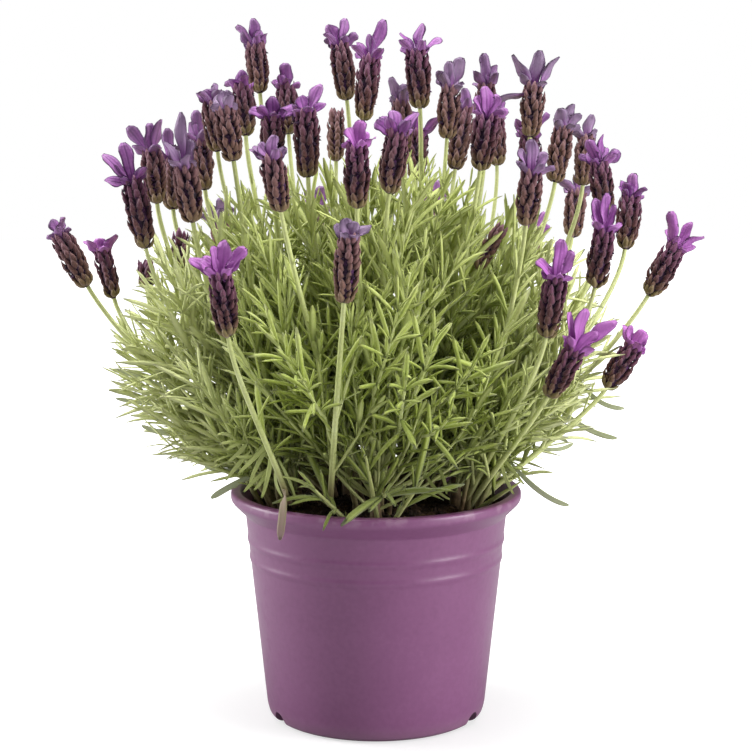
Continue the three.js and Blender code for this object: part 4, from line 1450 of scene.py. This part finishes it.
def spike_group():
    """A spike of overlapping scales in upright rows round a core, with small flowers between them."""
    tree = Tree.group("Flower spike", "GeometryNodeTree", {
        "Geometry": "Geometry",
        "Scale": "Object",
        "Floret": "Object",
        "Foot": (0.0, 0.0, 0.0),
        "Axis": (0.0, 0.0, 1.0),
        "Side": (1.0, 0.0, 0.0),
        "Length": 0.026,
        "Radius": 0.005,
        "Rows": 8,
        "Columns": 8,
        "Twist": 0.0,
        "Age": 0.0,
        "Florets": 14,
        "Bract Finish": "Material",
        "Scale Finish": "Material",
        "Floret Finish": "Material",
        "Seed": 1,
    }, {"Geometry": "Geometry"})
    takes = tree.takes
    axis, side, span, radius = takes["Axis"], takes["Side"], takes["Length"], takes["Radius"]
    other = tree.vector("CROSS_PRODUCT", axis, side)
    index = tree.add("GeometryNodeInputIndex")[0]

    def barrel(height):
        """The spike's radius at a share of its height."""
        swell = tree.math("SINE", tree.math("MULTIPLY_ADD", height, 2.5, 0.12))
        return tree.times(radius, tree.math("MULTIPLY_ADD", swell, 0.62, 0.38))

    def set_round(count, shape, height, angle, inset, tilt, scale, tint):
        """Copies of a shape round the spike, each at its height and angle and tilted outward."""
        cos, sin = tree.cos_sin(angle)
        radial = tree.both(side, cos, other, sin)
        cos, sin = tree.cos_sin(tilt)
        reach = tree.both(axis, cos, radial, sin)
        face = tree.both(radial, cos, axis, tree.times(sin, -1.0))
        up_and_out = tree.both(axis, tree.times(height, span), radial, tree.times(barrel(height), inset))
        seats = {"Count": count, "Offset": (0.0, 0.0, 0.0)}
        spots = tree.add("GeometryNodeMeshLine", seats, mode="OFFSET")[0]
        spots = tree.moved(spots, Position=tree.vector("ADD", takes["Foot"], up_and_out))
        turn = tree.rotation(reach, "X", face, "Z")
        copies = tree.copies(Points=spots, Instance=shape, Rotation=turn, Scale=scale)
        return tree.store(tree.store(copies, "tint", tint), "height", height)

    row = tree.math("FLOOR", tree.math("DIVIDE", index, takes["Columns"]))
    column = tree.math("FLOORED_MODULO", index, takes["Columns"])
    height = tree.plus(tree.math("DIVIDE", row, takes["Rows"]), tree.random(0.0, 0.05, 1))
    angle = tree.math("DIVIDE", tree.times(column, 2 * math.pi), takes["Columns"])
    angle = tree.plus(angle, tree.times(height, takes["Twist"]))
    angle = tree.plus(angle, tree.random(-0.16, 0.16, 2))
    tilt = tree.math("POWER", tree.math("SUBTRACT", 1.02, height), 1.6)
    tilt = tree.plus(tree.math("MULTIPLY_ADD", tilt, 0.36, 0.14), tree.random(-0.08, 0.1, 3))
    size = tree.times(tree.math("DIVIDE", span, takes["Rows"]), tree.random(1.6, 2.3, 4))
    count = tree.times(takes["Rows"], takes["Columns"])
    tint = tree.times(tree.random(0.0, 1.0, 6, column), 0.65)
    tint = tree.math("MULTIPLY_ADD", tree.random(0.0, 1.0, 5), 0.35, tint)
    scales = set_round(count, tree.shape_of("Scale"), height, angle, 0.75, tilt, size, tint)
    scales = tree.finished(scales, "Scale Finish")

    height = tree.random(0.16, 0.94, 11)
    angle = tree.random(0.0, 6.28, 12)
    tilt = tree.random(0.5, 0.9, 13)
    size = tree.times(radius, tree.random(0.4, 0.52, 14))
    tint = tree.random(0.0, 1.0, 15)
    florets = set_round(takes["Florets"], tree.shape_of("Floret"), height, angle, 0.7, tilt, size, tint)
    florets = tree.finished(florets, "Floret Finish")

    girth = tree.times(radius, 0.8)
    core = tree.add("GeometryNodeTransform", {
        "Geometry": tree.add("GeometryNodeMeshUVSphere", {"Segments": 12, "Rings": 8, "Radius": 1.0})[0],
        "Translation": tree.vector("ADD", takes["Foot"], tree.scaled(axis, tree.times(span, 0.49))),
        "Rotation": tree.rotation(axis, "Z", side, "X"),
        "Scale": tree.combined(girth, girth, tree.times(span, 0.5)),
    })[0]
    core = tree.finished(core, "Floret Finish")
    bracts = tree.finished(takes["Geometry"], "Bract Finish")
    whole = tree.join(scales, florets, core, bracts)
    return tree.give(Geometry=tree.store(whole, "age", takes["Age"], "POINT"))


# Finishes: shared groups give masks, colours and heights, and each finish mixes them its own way


def shader_colour(shown):
    """A colour for a shader, from its red, green and blue as the photograph shows them, 0 to 255."""
    parts = (((part / 255 + 0.055) / 1.055) ** 2.4 if part > 10 else part / 3294.6 for part in shown)
    return (*parts, 1.0)


def mottle_group():
    """Uneven colour: a colour that drifts darker and lighter in broad patches and fine specks."""
    tree = Tree.group("Mottle", "ShaderNodeTree", {
        "Colour": (0.5, 0.5, 0.5, 1.0),
        "Dark": (0.3, 0.3, 0.3, 1.0),
        "Light": (0.7, 0.7, 0.7, 1.0),
        "Patch Scale": 40.0,
        "Speck Scale": 900.0,
        "Amount": 0.5,
    }, {"Colour": "Color", "Patches": "Float", "Specks": "Float"})
    takes, place = tree.takes, tree.place()
    patches = tree.noise(place, takes["Patch Scale"], 3.0)[0]
    specks = tree.noise(place, takes["Speck Scale"], 2.0)[0]
    both = tree.math("MULTIPLY_ADD", specks, 0.4, tree.times(patches, 0.6))
    dark = tree.times(tree.map(both, 0.52, 0.36), takes["Amount"])
    light = tree.times(tree.map(both, 0.5, 0.66), takes["Amount"])
    mixed = tree.mix(light, tree.mix(dark, takes["Colour"], takes["Dark"]), takes["Light"])
    return tree.give(Colour=mixed, Patches=patches, Specks=specks)


def blade_group():
    """Masks on a blade: its midrib, the fine veins beside it, its margin, its tip and its upper side."""
    tree = Tree.group("Blade marks", "ShaderNodeTree", {
        "Midrib Width": 0.16,
        "Vein Count": 7.0,
        "Margin Width": 0.2,
        "Tip Start": 0.75,
    }, {"Midrib": "Float", "Veins": "Float", "Margin": "Float", "Tip": "Float", "Upper": "Float"})
    takes, across = tree.takes, tree.part("across")
    away = tree.math("ABSOLUTE", across)
    wave = tree.math("SINE", tree.times(tree.times(across, takes["Vein Count"]), math.pi))
    return tree.give(
        Midrib=tree.math("SUBTRACT", 1.0, tree.map(away, 0.0, takes["Midrib Width"])),
        Veins=tree.math("MULTIPLY_ADD", wave, 0.5, 0.5),
        Margin=tree.map(away, tree.math("SUBTRACT", 1.0, takes["Margin Width"]), 1.0),
        Tip=tree.map(tree.part("along"), takes["Tip Start"], 1.0),
        Upper=tree.part("upper"),
    )


def down_group():
    """Heights for bumps: fine hairs and a coarser grain, drawn out along Z."""
    tree = Tree.group("Fine down", "ShaderNodeTree", {
        "Hair Scale": 2600.0,
        "Grain Scale": 700.0,
        "Stretch": (1.0, 1.0, 0.35),
    }, {"Height": "Float"})
    place = tree.vector("MULTIPLY", tree.place(), tree.takes["Stretch"])
    hairs = tree.noise(place, tree.takes["Hair Scale"], 2.0)[0]
    grain = tree.noise(place, tree.takes["Grain Scale"], 1.0)[0]
    return tree.give(Height=tree.math("MULTIPLY_ADD", hairs, 0.5, tree.times(grain, 0.5)))


def youth_and_painted_light_group():
    """How young the foliage is at a place, and how much painted light it gets: from 0 in the middle of the
    plant to a half at its top and 1 at its edges; how far out the place is, less so in front, for a painted
    light on the outer leaves;
    and how much painted shade falls on it low down over the soil near the middle."""
    tree = Tree.group("Youth", "ShaderNodeTree", {
        "Low": 0.15,
        "High": 0.24,
        "Near": 0.05,
        "Far": 0.088,
        "Front Share": 0.45,
        "Dull Below": 0.15,
        "Dullest Below": 0.11,
        "Dull Within": 0.066,
        "Dullest Within": 0.046,
    }, {"Youth": "Float", "Edge": "Float", "Dullness": "Float"})
    takes = tree.takes
    x, y, z = tree.separated(tree.place())
    front = tree.times(tree.times(y, -1.0), takes["Front Share"])
    y = tree.math("MAXIMUM", y, front)
    out = tree.math("SQRT", tree.math("MULTIPLY_ADD", x, x, tree.times(y, y)))
    # Young growth and painted light: paler at the top and far out
    high = tree.times(tree.map(z, takes["Low"], takes["High"]), 0.5)
    far = tree.map(out, takes["Near"], takes["Far"])
    # Painted shade: low down and near the middle of the plant
    low = tree.map(z, takes["Dull Below"], takes["Dullest Below"])
    inner = tree.map(out, takes["Dull Within"], takes["Dullest Within"])
    return tree.give(Youth=tree.math("MAXIMUM", high, far), Edge=far, Dullness=tree.times(low, inner))


class Finish(Tree):
    """A material under construction: a tree that ends in one Principled shader."""

    def __init__(self, name, groups):
        self.material = bpy.data.materials.new(name)
        self.material.use_nodes = True
        super().__init__(self.material.node_tree)
        self.groups = groups
        self.tree.nodes.clear()
        self.shader = self.tree.nodes.new("ShaderNodeBsdfPrincipled")
        output = self.tree.nodes.new("ShaderNodeOutputMaterial")
        self.tree.links.new(self.shader.outputs[0], output.inputs[0])

    def set(self, **values):
        """Feeds the shader's sockets, named with underscores for spaces."""
        for name, value in values.items():
            self.feed(self.shader.inputs[name.replace("_", " ")], value)

    def bumped(self, height, strength, distance):
        """Bumps from a height of 0 to 1, which is distance metres high."""
        bump = self.add("ShaderNodeBump", {"Height": height, "Strength": strength, "Distance": distance})
        self.set(Normal=bump[0])

    def use(self, name, inputs=()):
        """A shared group's node, fed by its inputs' names."""
        node = self.tree.nodes.new("ShaderNodeGroup")
        node.node_tree = self.groups[name]
        for key, value in dict(inputs).items():
            self.feed(node.inputs[key], value)
        return node.outputs

    def mottled(self, colours, patches, specks, amount):
        """The mottle of a colour with a darker and a lighter one."""
        values = dict(zip(("Colour", "Dark", "Light"), colours))
        values |= {"Patch Scale": patches, "Speck Scale": specks, "Amount": amount}
        return self.use("mottle", values)

    def layered(self, base, *layers):
        """A colour with others over it in turn. Each layer has its mask, its strength and its colour."""
        for mask, strength, over in layers:
            base = self.mix(self.times(mask, strength), base, over)
        return base


def leaf_finish(name, groups, green, pale, dark, silver, old, tip, young, rough=0.62):
    """Soft, downy grey-green leaves: brighter down the midrib and paler below. By the share young they are
    fresher and paler at the plant's top and edges, partly as painted light, with a painted light on the
    outer ones and painted shade low in the middle over the soil. No two leaves are quite the same green."""
    finish = Finish(name, groups)
    marks = finish.use("blade", {"Midrib Width": 0.3, "Vein Count": 5.0, "Margin Width": 0.3})
    growth = finish.use("youth_and_painted_light")
    youth_and_painted_light = finish.times(growth["Youth"], young)
    # Paler and fresher at the top and edges: young growth, and partly painted light
    green = finish.mix(youth_and_painted_light, green, (228, 234, 158))
    deep = finish.mix(youth_and_painted_light, (112, 132, 38), (186, 198, 104))
    mottled = finish.mottled((green, deep, pale), 60.0, 900.0, 0.45)
    tint = finish.part("tint")
    second = finish.math("FRACT", finish.times(tint, 7.0))
    base = finish.layered(
        mottled["Colour"],
        (finish.map(tint, 0.55, 1.0), 0.55, pale),
        (finish.map(tint, 0.4, 0.1), 0.4, dark),
        (finish.map(second, 0.6, 0.9), 0.5, silver),
        (finish.map(tint, 0.06, 0.0), 0.8, old),
        (marks["Midrib"], 0.4, pale),
        (finish.math("SUBTRACT", 1.0, finish.map(marks["Upper"], 0.0, 0.6)), 0.5, pale),
        (marks["Tip"], 0.3, tip),
        # Painted light: paler on the outer leaves
        (growth["Edge"], young * 0.4, (238, 242, 194)),
        # Painted shade: darker low down in the middle of the plant
        (growth["Dullness"], young * 0.75, (84, 92, 40)),
    )
    finish.set(Base_Color=base, Roughness=rough, Specular_IOR_Level=0.35)
    finish.set(Sheen_Weight=0.25, Sheen_Roughness=0.5, Sheen_Tint=(215, 222, 195))
    finish.bumped(finish.use("down")["Height"], 0.35, 0.0002)
    return finish.material


def stem_finish(groups):
    """Pale green stems with fine ridges along them, woody and brown near the soil, paler at the plant's top
    and edges partly as painted light, and darker low in the middle as painted shade.
    """
    finish = Finish("stem", groups)
    young = finish.mottled(((198, 206, 136), (168, 178, 100), (218, 224, 170)), 45.0, 900.0, 0.6)
    old = finish.mottled(((96, 76, 50), (52, 38, 24), (138, 118, 88)), 120.0, 500.0, 0.8)
    growth = finish.use("youth_and_painted_light")
    base = finish.layered(
        young["Colour"],
        # Paler at the top and edges: young growth, and partly painted light
        (growth["Youth"], 0.35, (216, 220, 164)),
        # Painted shade: darker low down in the middle of the plant
        (growth["Dullness"], 0.4, (128, 124, 78)),
        (finish.map(finish.part("wood"), 0.1, 0.8), 1.0, old["Colour"]),
    )
    finish.set(Base_Color=base, Roughness=0.6, Specular_IOR_Level=0.35)
    finish.set(Sheen_Weight=0.15, Sheen_Roughness=0.5, Sheen_Tint=(220, 226, 200))
    down = finish.use("down", {"Grain Scale": 500.0, "Stretch": (1.0, 1.0, 0.12)})
    finish.bumped(down["Height"], 0.4, 0.0003)
    return finish.material


def scale_finish(groups):
    """The spikes' scales: maroon with pale ribs and dark edges, olive at the foot and purple at the top."""
    finish = Finish("spike_scale", groups)
    marks = finish.use("blade", {"Midrib Width": 0.22, "Vein Count": 6.0, "Margin Width": 0.3})
    mottled = finish.mottled(((72, 36, 41), (32, 13, 16), (112, 70, 72)), 260.0, 1600.0, 0.8)
    height = finish.part("height")
    base = finish.layered(
        mottled["Colour"],
        (finish.map(height, 0.3, 0.0), 0.75, (122, 104, 62)),
        (finish.map(height, 0.12, 0.0), 0.6, (142, 138, 80)),
        (finish.map(height, 0.35, 1.0), 0.9, (116, 60, 108)),
        (finish.map(finish.part("tint"), 0.25, 0.85), 0.7, (118, 78, 80)),
        (finish.map(finish.part("age"), 0.3, 1.0), 0.55, (138, 106, 92)),
        (marks["Midrib"], 0.5, (122, 92, 88)),
        (marks["Margin"], 0.45, (48, 20, 28)),
    )
    finish.set(Base_Color=base, Roughness=0.68, Specular_IOR_Level=0.3)
    finish.set(Sheen_Weight=0.3, Sheen_Roughness=0.45, Sheen_Tint=(205, 180, 195))
    finish.bumped(finish.use("down", {"Stretch": (1.0, 1.0, 1.0)})["Height"], 0.5, 0.0003)
    return finish.material


def floret_finish(groups):
    """Small flowers and the core behind them, nearly black violet."""
    finish = Finish("floret", groups)
    mottled = finish.mottled(((46, 18, 48), (22, 8, 24), (92, 44, 96)), 400.0, 2000.0, 0.9)
    finish.set(Base_Color=mottled["Colour"], Roughness=0.6, Specular_IOR_Level=0.3)
    finish.bumped(mottled["Specks"], 0.4, 0.0002)
    return finish.material


def bract_finish(groups):
    """Thin violet bracts: veined, with darker margins and feet, and faded greyish tips."""
    finish = Finish("bract", groups)
    blade = {"Midrib Width": 0.2, "Vein Count": 4.0, "Margin Width": 0.35, "Tip Start": 0.7}
    marks = finish.use("blade", blade)
    mottled = finish.mottled(((166, 94, 174), (138, 72, 150), (200, 136, 204)), 110.0, 800.0, 0.7)
    tint, along, age = finish.part("tint"), finish.part("along"), finish.part("age")
    old = finish.times(finish.map(age, 0.5, 1.0), finish.map(along, 0.1, 0.7))
    base = finish.layered(
        mottled["Colour"],
        (finish.map(tint, 0.5, 1.0), 0.75, (108, 56, 116)),
        (finish.map(tint, 0.5, 0.0), 0.4, (206, 150, 210)),
        (marks["Veins"], 0.3, (112, 56, 128)),
        (marks["Midrib"], 0.6, (92, 44, 104)),
        (marks["Margin"], 0.8, (72, 36, 84)),
        (finish.map(along, 0.3, 0.0), 0.8, (80, 38, 80)),
        (marks["Tip"], 0.3, (148, 122, 152)),
        (old, 0.8, (150, 130, 156)),
        (finish.times(old, finish.math("MAXIMUM", marks["Margin"], marks["Tip"])), 0.6, (84, 62, 92)),
        (finish.map(age, 0.3, 0.0), 0.5, (206, 122, 208)),
    )
    finish.set(Base_Color=base, Roughness=0.5, Specular_IOR_Level=0.35)
    finish.set(Sheen_Weight=0.2, Sheen_Roughness=0.4, Sheen_Tint=(230, 200, 240))
    finish.bumped(finish.math("MULTIPLY_ADD", marks["Veins"], 0.4, mottled["Specks"]), 0.5, 0.0003)
    return finish.material


def pot_finish(groups):
    """Satin mauve plastic with a faint mottle, a rim paled by wear and by a painted highlight, and dust near
    its foot.
    """
    finish = Finish("pot_plastic", groups)
    mottled = finish.mottled(((128, 75, 118), (119, 67, 109), (136, 83, 126)), 18.0, 420.0, 0.5)
    place = finish.place()
    height = finish.separated(place)[2]
    # Rubbed patches: they roughen the plastic all over, and pale the rim's top band as wear and painted
    # highlight
    wear_and_highlight = finish.map(finish.noise(place, 160.0, 4.0)[0], 0.52, 0.68)
    rim = finish.map(height, (POT_HEIGHT - RIM_WEAR_AND_HIGHLIGHT) * MM, (POT_HEIGHT - 1) * MM)
    base = finish.layered(
        mottled["Colour"],
        # Painted highlight, partly wear: the rim's top band is paler
        (finish.times(rim, wear_and_highlight), 0.3, (186, 156, 174)),
        (finish.map(height, DUST_HEIGHT * MM, 0.0), 0.25, (164, 138, 150)),
    )
    worn = finish.math("MULTIPLY_ADD", wear_and_highlight, 0.08, 0.42)
    finish.set(Base_Color=base, Roughness=worn, Specular_IOR_Level=0.4)
    finish.set(Coat_Weight=0.4, Coat_Roughness=0.32)
    finish.bumped(finish.noise(place, 1500.0, 2.0)[0], 0.12, 0.0002)
    return finish.material


def soil_finish(groups):
    """Dark moist peat, its crumbs from nearly black to dry brown."""
    finish = Finish("soil", groups)
    mottled = finish.mottled(((46, 33, 23), (22, 15, 10), (88, 66, 46)), 130.0, 1100.0, 0.9)
    dry = finish.map(finish.part("tint"), 0.8, 1.0)
    base = finish.layered(mottled["Colour"], (dry, 0.6, (122, 96, 70)))
    finish.set(Base_Color=base, Roughness=0.88, Specular_IOR_Level=0.25)
    finish.bumped(mottled["Specks"], 0.8, 0.0008)
    return finish.material


def floor_finish():
    """A pale floor that fades to plain white away from the pot, as the camera sees it."""
    finish = Finish("pale_floor", {})
    away = finish.vector("LENGTH", finish.place())
    away = finish.map(away, *FLOOR_FADE, *FLOOR_GLOW)
    seen = finish.times(finish.add("ShaderNodeLightPath")["Is Camera Ray"], away)
    finish.set(Base_Color=(0.42, 0.42, 0.42, 1.0), Roughness=0.7, Specular_IOR_Level=0.2)
    finish.set(Emission_Color=(1.0, 1.0, 1.0, 1.0), Emission_Strength=seen)
    return finish.material


# The studio: a pale floor, a white room, soft lights and the photograph's camera


def make_floor():
    outline = [(0, FLOOR_LOW), (FLOOR_RADIUS, FLOOR_LOW), (FLOOR_RADIUS, FLOOR_TOP), (0, FLOOR_TOP)]
    floor = linked("floor", lathe("floor", outline, FLOOR_SIDES))
    floor.data.materials.append(floor_finish())


def make_world():
    """White to the camera, and a dimmer even light to everything else."""
    world = bpy.data.worlds.new("white_room")
    world.use_nodes = True
    bpy.context.scene.world = world
    tree = Tree(world.node_tree)
    tree.tree.nodes.clear()
    seen = tree.add("ShaderNodeLightPath")["Is Camera Ray"]
    strength = tree.math("MULTIPLY_ADD", seen, 1.0 - ROOM_LIGHT, ROOM_LIGHT)
    glow = tree.add("ShaderNodeBackground", {"Color": (1.0, 1.0, 1.0, 1.0), "Strength": strength})[0]
    tree.add("ShaderNodeOutputWorld", {"Surface": glow})


def make_light(name, place, aim, size, power):
    light = bpy.data.lights.new(name, "AREA")
    light.shape = "RECTANGLE"
    light.size, light.size_y = size
    light.energy = power
    lamp = linked(name, light)
    lamp.location = place
    lamp.rotation_euler = (Vector(aim) - Vector(place)).to_track_quat("-Z", "Y").to_euler()


def make_camera():
    """The photograph's own view."""
    camera = bpy.data.cameras.new("camera")
    camera.sensor_width = SENSOR_WIDTH
    camera.lens = VIEW_FOCAL / VIEW_SIZE * SENSOR_WIDTH
    seen = linked("camera", camera)
    seen.location = (0, -VIEW_DISTANCE * MM, VIEW_HEIGHT * MM)
    seen.rotation_euler = (math.pi / 2 - VIEW_PITCH, 0, 0)
    bpy.context.scene.camera = seen


def make_studio():
    make_floor()
    make_world()
    for light in LIGHTS:
        make_light(**light)
    make_camera()
    bpy.context.scene.view_settings.view_transform = "Standard"


# All of it together


def make_finishes():
    groups = {"mottle": mottle_group(), "blade": blade_group(), "down": down_group(), "youth_and_painted_light": youth_and_painted_light_group()}
    green, pale, dark = (156, 171, 66), (202, 209, 142), (114, 131, 57)
    silver, old, tip = (184, 192, 160), (140, 128, 88), (128, 118, 88)
    grey, faded, pink = (164, 172, 130), (134, 116, 98), (158, 122, 136)
    dull, fresh = (152, 130, 122), (186, 202, 104)
    return {
        "leaf": leaf_finish("leaf", groups, green, pale, dark, silver, old, tip, 0.9),
        "outer_leaf": leaf_finish("outer_leaf", groups, grey, silver, grey, silver, old, grey, 0.3),
        "low_leaf": leaf_finish("low_leaf", groups, fresh, pale, fresh, pale, old, fresh, 0.4),
        "old_leaf": leaf_finish("old_leaf", groups, faded, dull, faded, dull, pink, pink, 0, 0.7),
        "stem": stem_finish(groups),
        "scale": scale_finish(groups),
        "floret": floret_finish(groups),
        "bract": bract_finish(groups),
        "pot": pot_finish(groups),
        "soil": soil_finish(groups),
    }


def make_pot_and_soil(finishes):
    piece("nursery_pot", pot_mesh(), ["pot"], [finishes["pot"]])
    soil = grown("potting_soil", soil_mesh(), crumbs_group(), {
        "Lowest": (SOIL_EDGE_HEIGHT - 5) * MM,
        "Reach": (wall_radius(SOIL_EDGE_HEIGHT) - WALL - 3) * MM,
        "Soil": finishes["soil"],
    })
    piece("potting_soil", soil, ["soil"])


def surroundings_mesh(names):
    """One mesh of some of the model's nodes, for what must keep clear of them."""
    points, faces = [], []
    for name in names:
        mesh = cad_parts[name].data
        first = len(points)
        points += [tuple(vertex.co) for vertex in mesh.vertices]
        faces += [[first + i for i in polygon.vertices] for polygon in mesh.polygons]
    mesh = bpy.data.meshes.new("surroundings")
    mesh.from_pydata(points, [], faces)
    return mesh


def make_foliage(heads, branches, finishes):
    surroundings = surroundings_mesh(["pot", "soil"] + [head["name"] for head in heads])
    tree = BVHTree.FromPolygons(
        [tuple(vertex.co) for vertex in surroundings.vertices],
        [tuple(polygon.vertices) for polygon in surroundings.polygons],
    )
    obstacle, leaf = helper("surroundings", surroundings), helper("leaf", leaf_sheet())
    group = leafy_group()
    growth = random.Random(SEED)
    lines_of_branches = [branch_lines(branch, tree, growth) for branch in branches]
    for tip, depth in EDGE_SHOOTS:
        edge_shoot(tip, depth, lines_of_branches, tree, growth)
    front_growth = random.Random(SEED + 2)
    for tip, depth in FRONT_SHOOTS:
        edge_shoot(tip, depth, lines_of_branches, tree, front_growth, free=1)
    free_low_front(lines_of_branches)
    stem_points = [point for lines in lines_of_branches for line in lines for point in line["points"]]
    stem_points = [point for point in stem_points if point[2] > MOUTH_HEIGHT]
    for number, (branch, lines) in enumerate(zip(branches, lines_of_branches), 1):
        name = f"leafy_stems_{number}"
        mesh = grown(name, lines_mesh(name, lines, growth), group, {
            "Leaf": leaf,
            "Keep Clear": obstacle,
            "Stem Finish": finishes["stem"],
            "Leaf Finish": finishes["leaf"],
            "Leaf Spacing": LEAF_SPACING * MM,
            "Leaf Length": LEAF_LENGTH * MM,
            "Mass Centre": vec(*FOLIAGE_CENTRE) * MM,
            "Mass Radius": FOLIAGE_RADIUS * MM,
            "Mass Rise": FOLIAGE_RISE * MM,
            "Mass Drop": FOLIAGE_DROP * MM,
            "Front Lift": FRONT_LIFT,
            "Front Squeeze": FRONT_SQUEEZE,
            "Seed": number,
        })
        piece(name, mesh, [branch["name"]])
    for used in (obstacle, leaf):
        bpy.data.objects.remove(used)
    make_long_leaves(np.array(stem_points), finishes)


def make_heads(heads, finishes):
    scale, floret = helper("scale", scale_sheet()), helper("floret", floret_mesh())
    group = spike_group()
    growth = random.Random(SEED + 1)
    for number, head in enumerate(heads, 1):
        twist, age = growth.uniform(-SPIKE_TWIST, SPIKE_TWIST), growth.random()
        name = f"lavender_flower_{number:02d}"
        size = head["radius"] / SPIKE_RADIUS
        mesh = grown(name, bract_mesh(head, growth), group, {
            "Scale": scale,
            "Floret": floret,
            "Foot": head["foot"] * MM,
            "Axis": head["axis"],
            "Side": side_of(head["axis"]),
            "Length": head["length"] * MM,
            "Radius": head["radius"] * MM,
            "Rows": max(LEAST_ROWS, round(head["length"] / SCALE_STEP)),
            "Columns": COLUMNS if size > SLIM_SPIKE else SLIM_COLUMNS,
            "Twist": twist,
            "Age": age if head["age"] is None else head["age"],
            "Florets": 0 if head["bud"] else round(FLORETS * size),
            "Bract Finish": finishes["bract"],
            "Scale Finish": finishes["scale"],
            "Floret Finish": finishes["floret"],
            "Seed": number,
        })
        piece(name, mesh, [head["name"]])
    for used in (scale, floret):
        bpy.data.objects.remove(used)


heads, branches = place_plant()
finishes = make_finishes()
make_pot_and_soil(finishes)
make_foliage(heads, branches, finishes)
make_heads(heads, finishes)
make_studio()
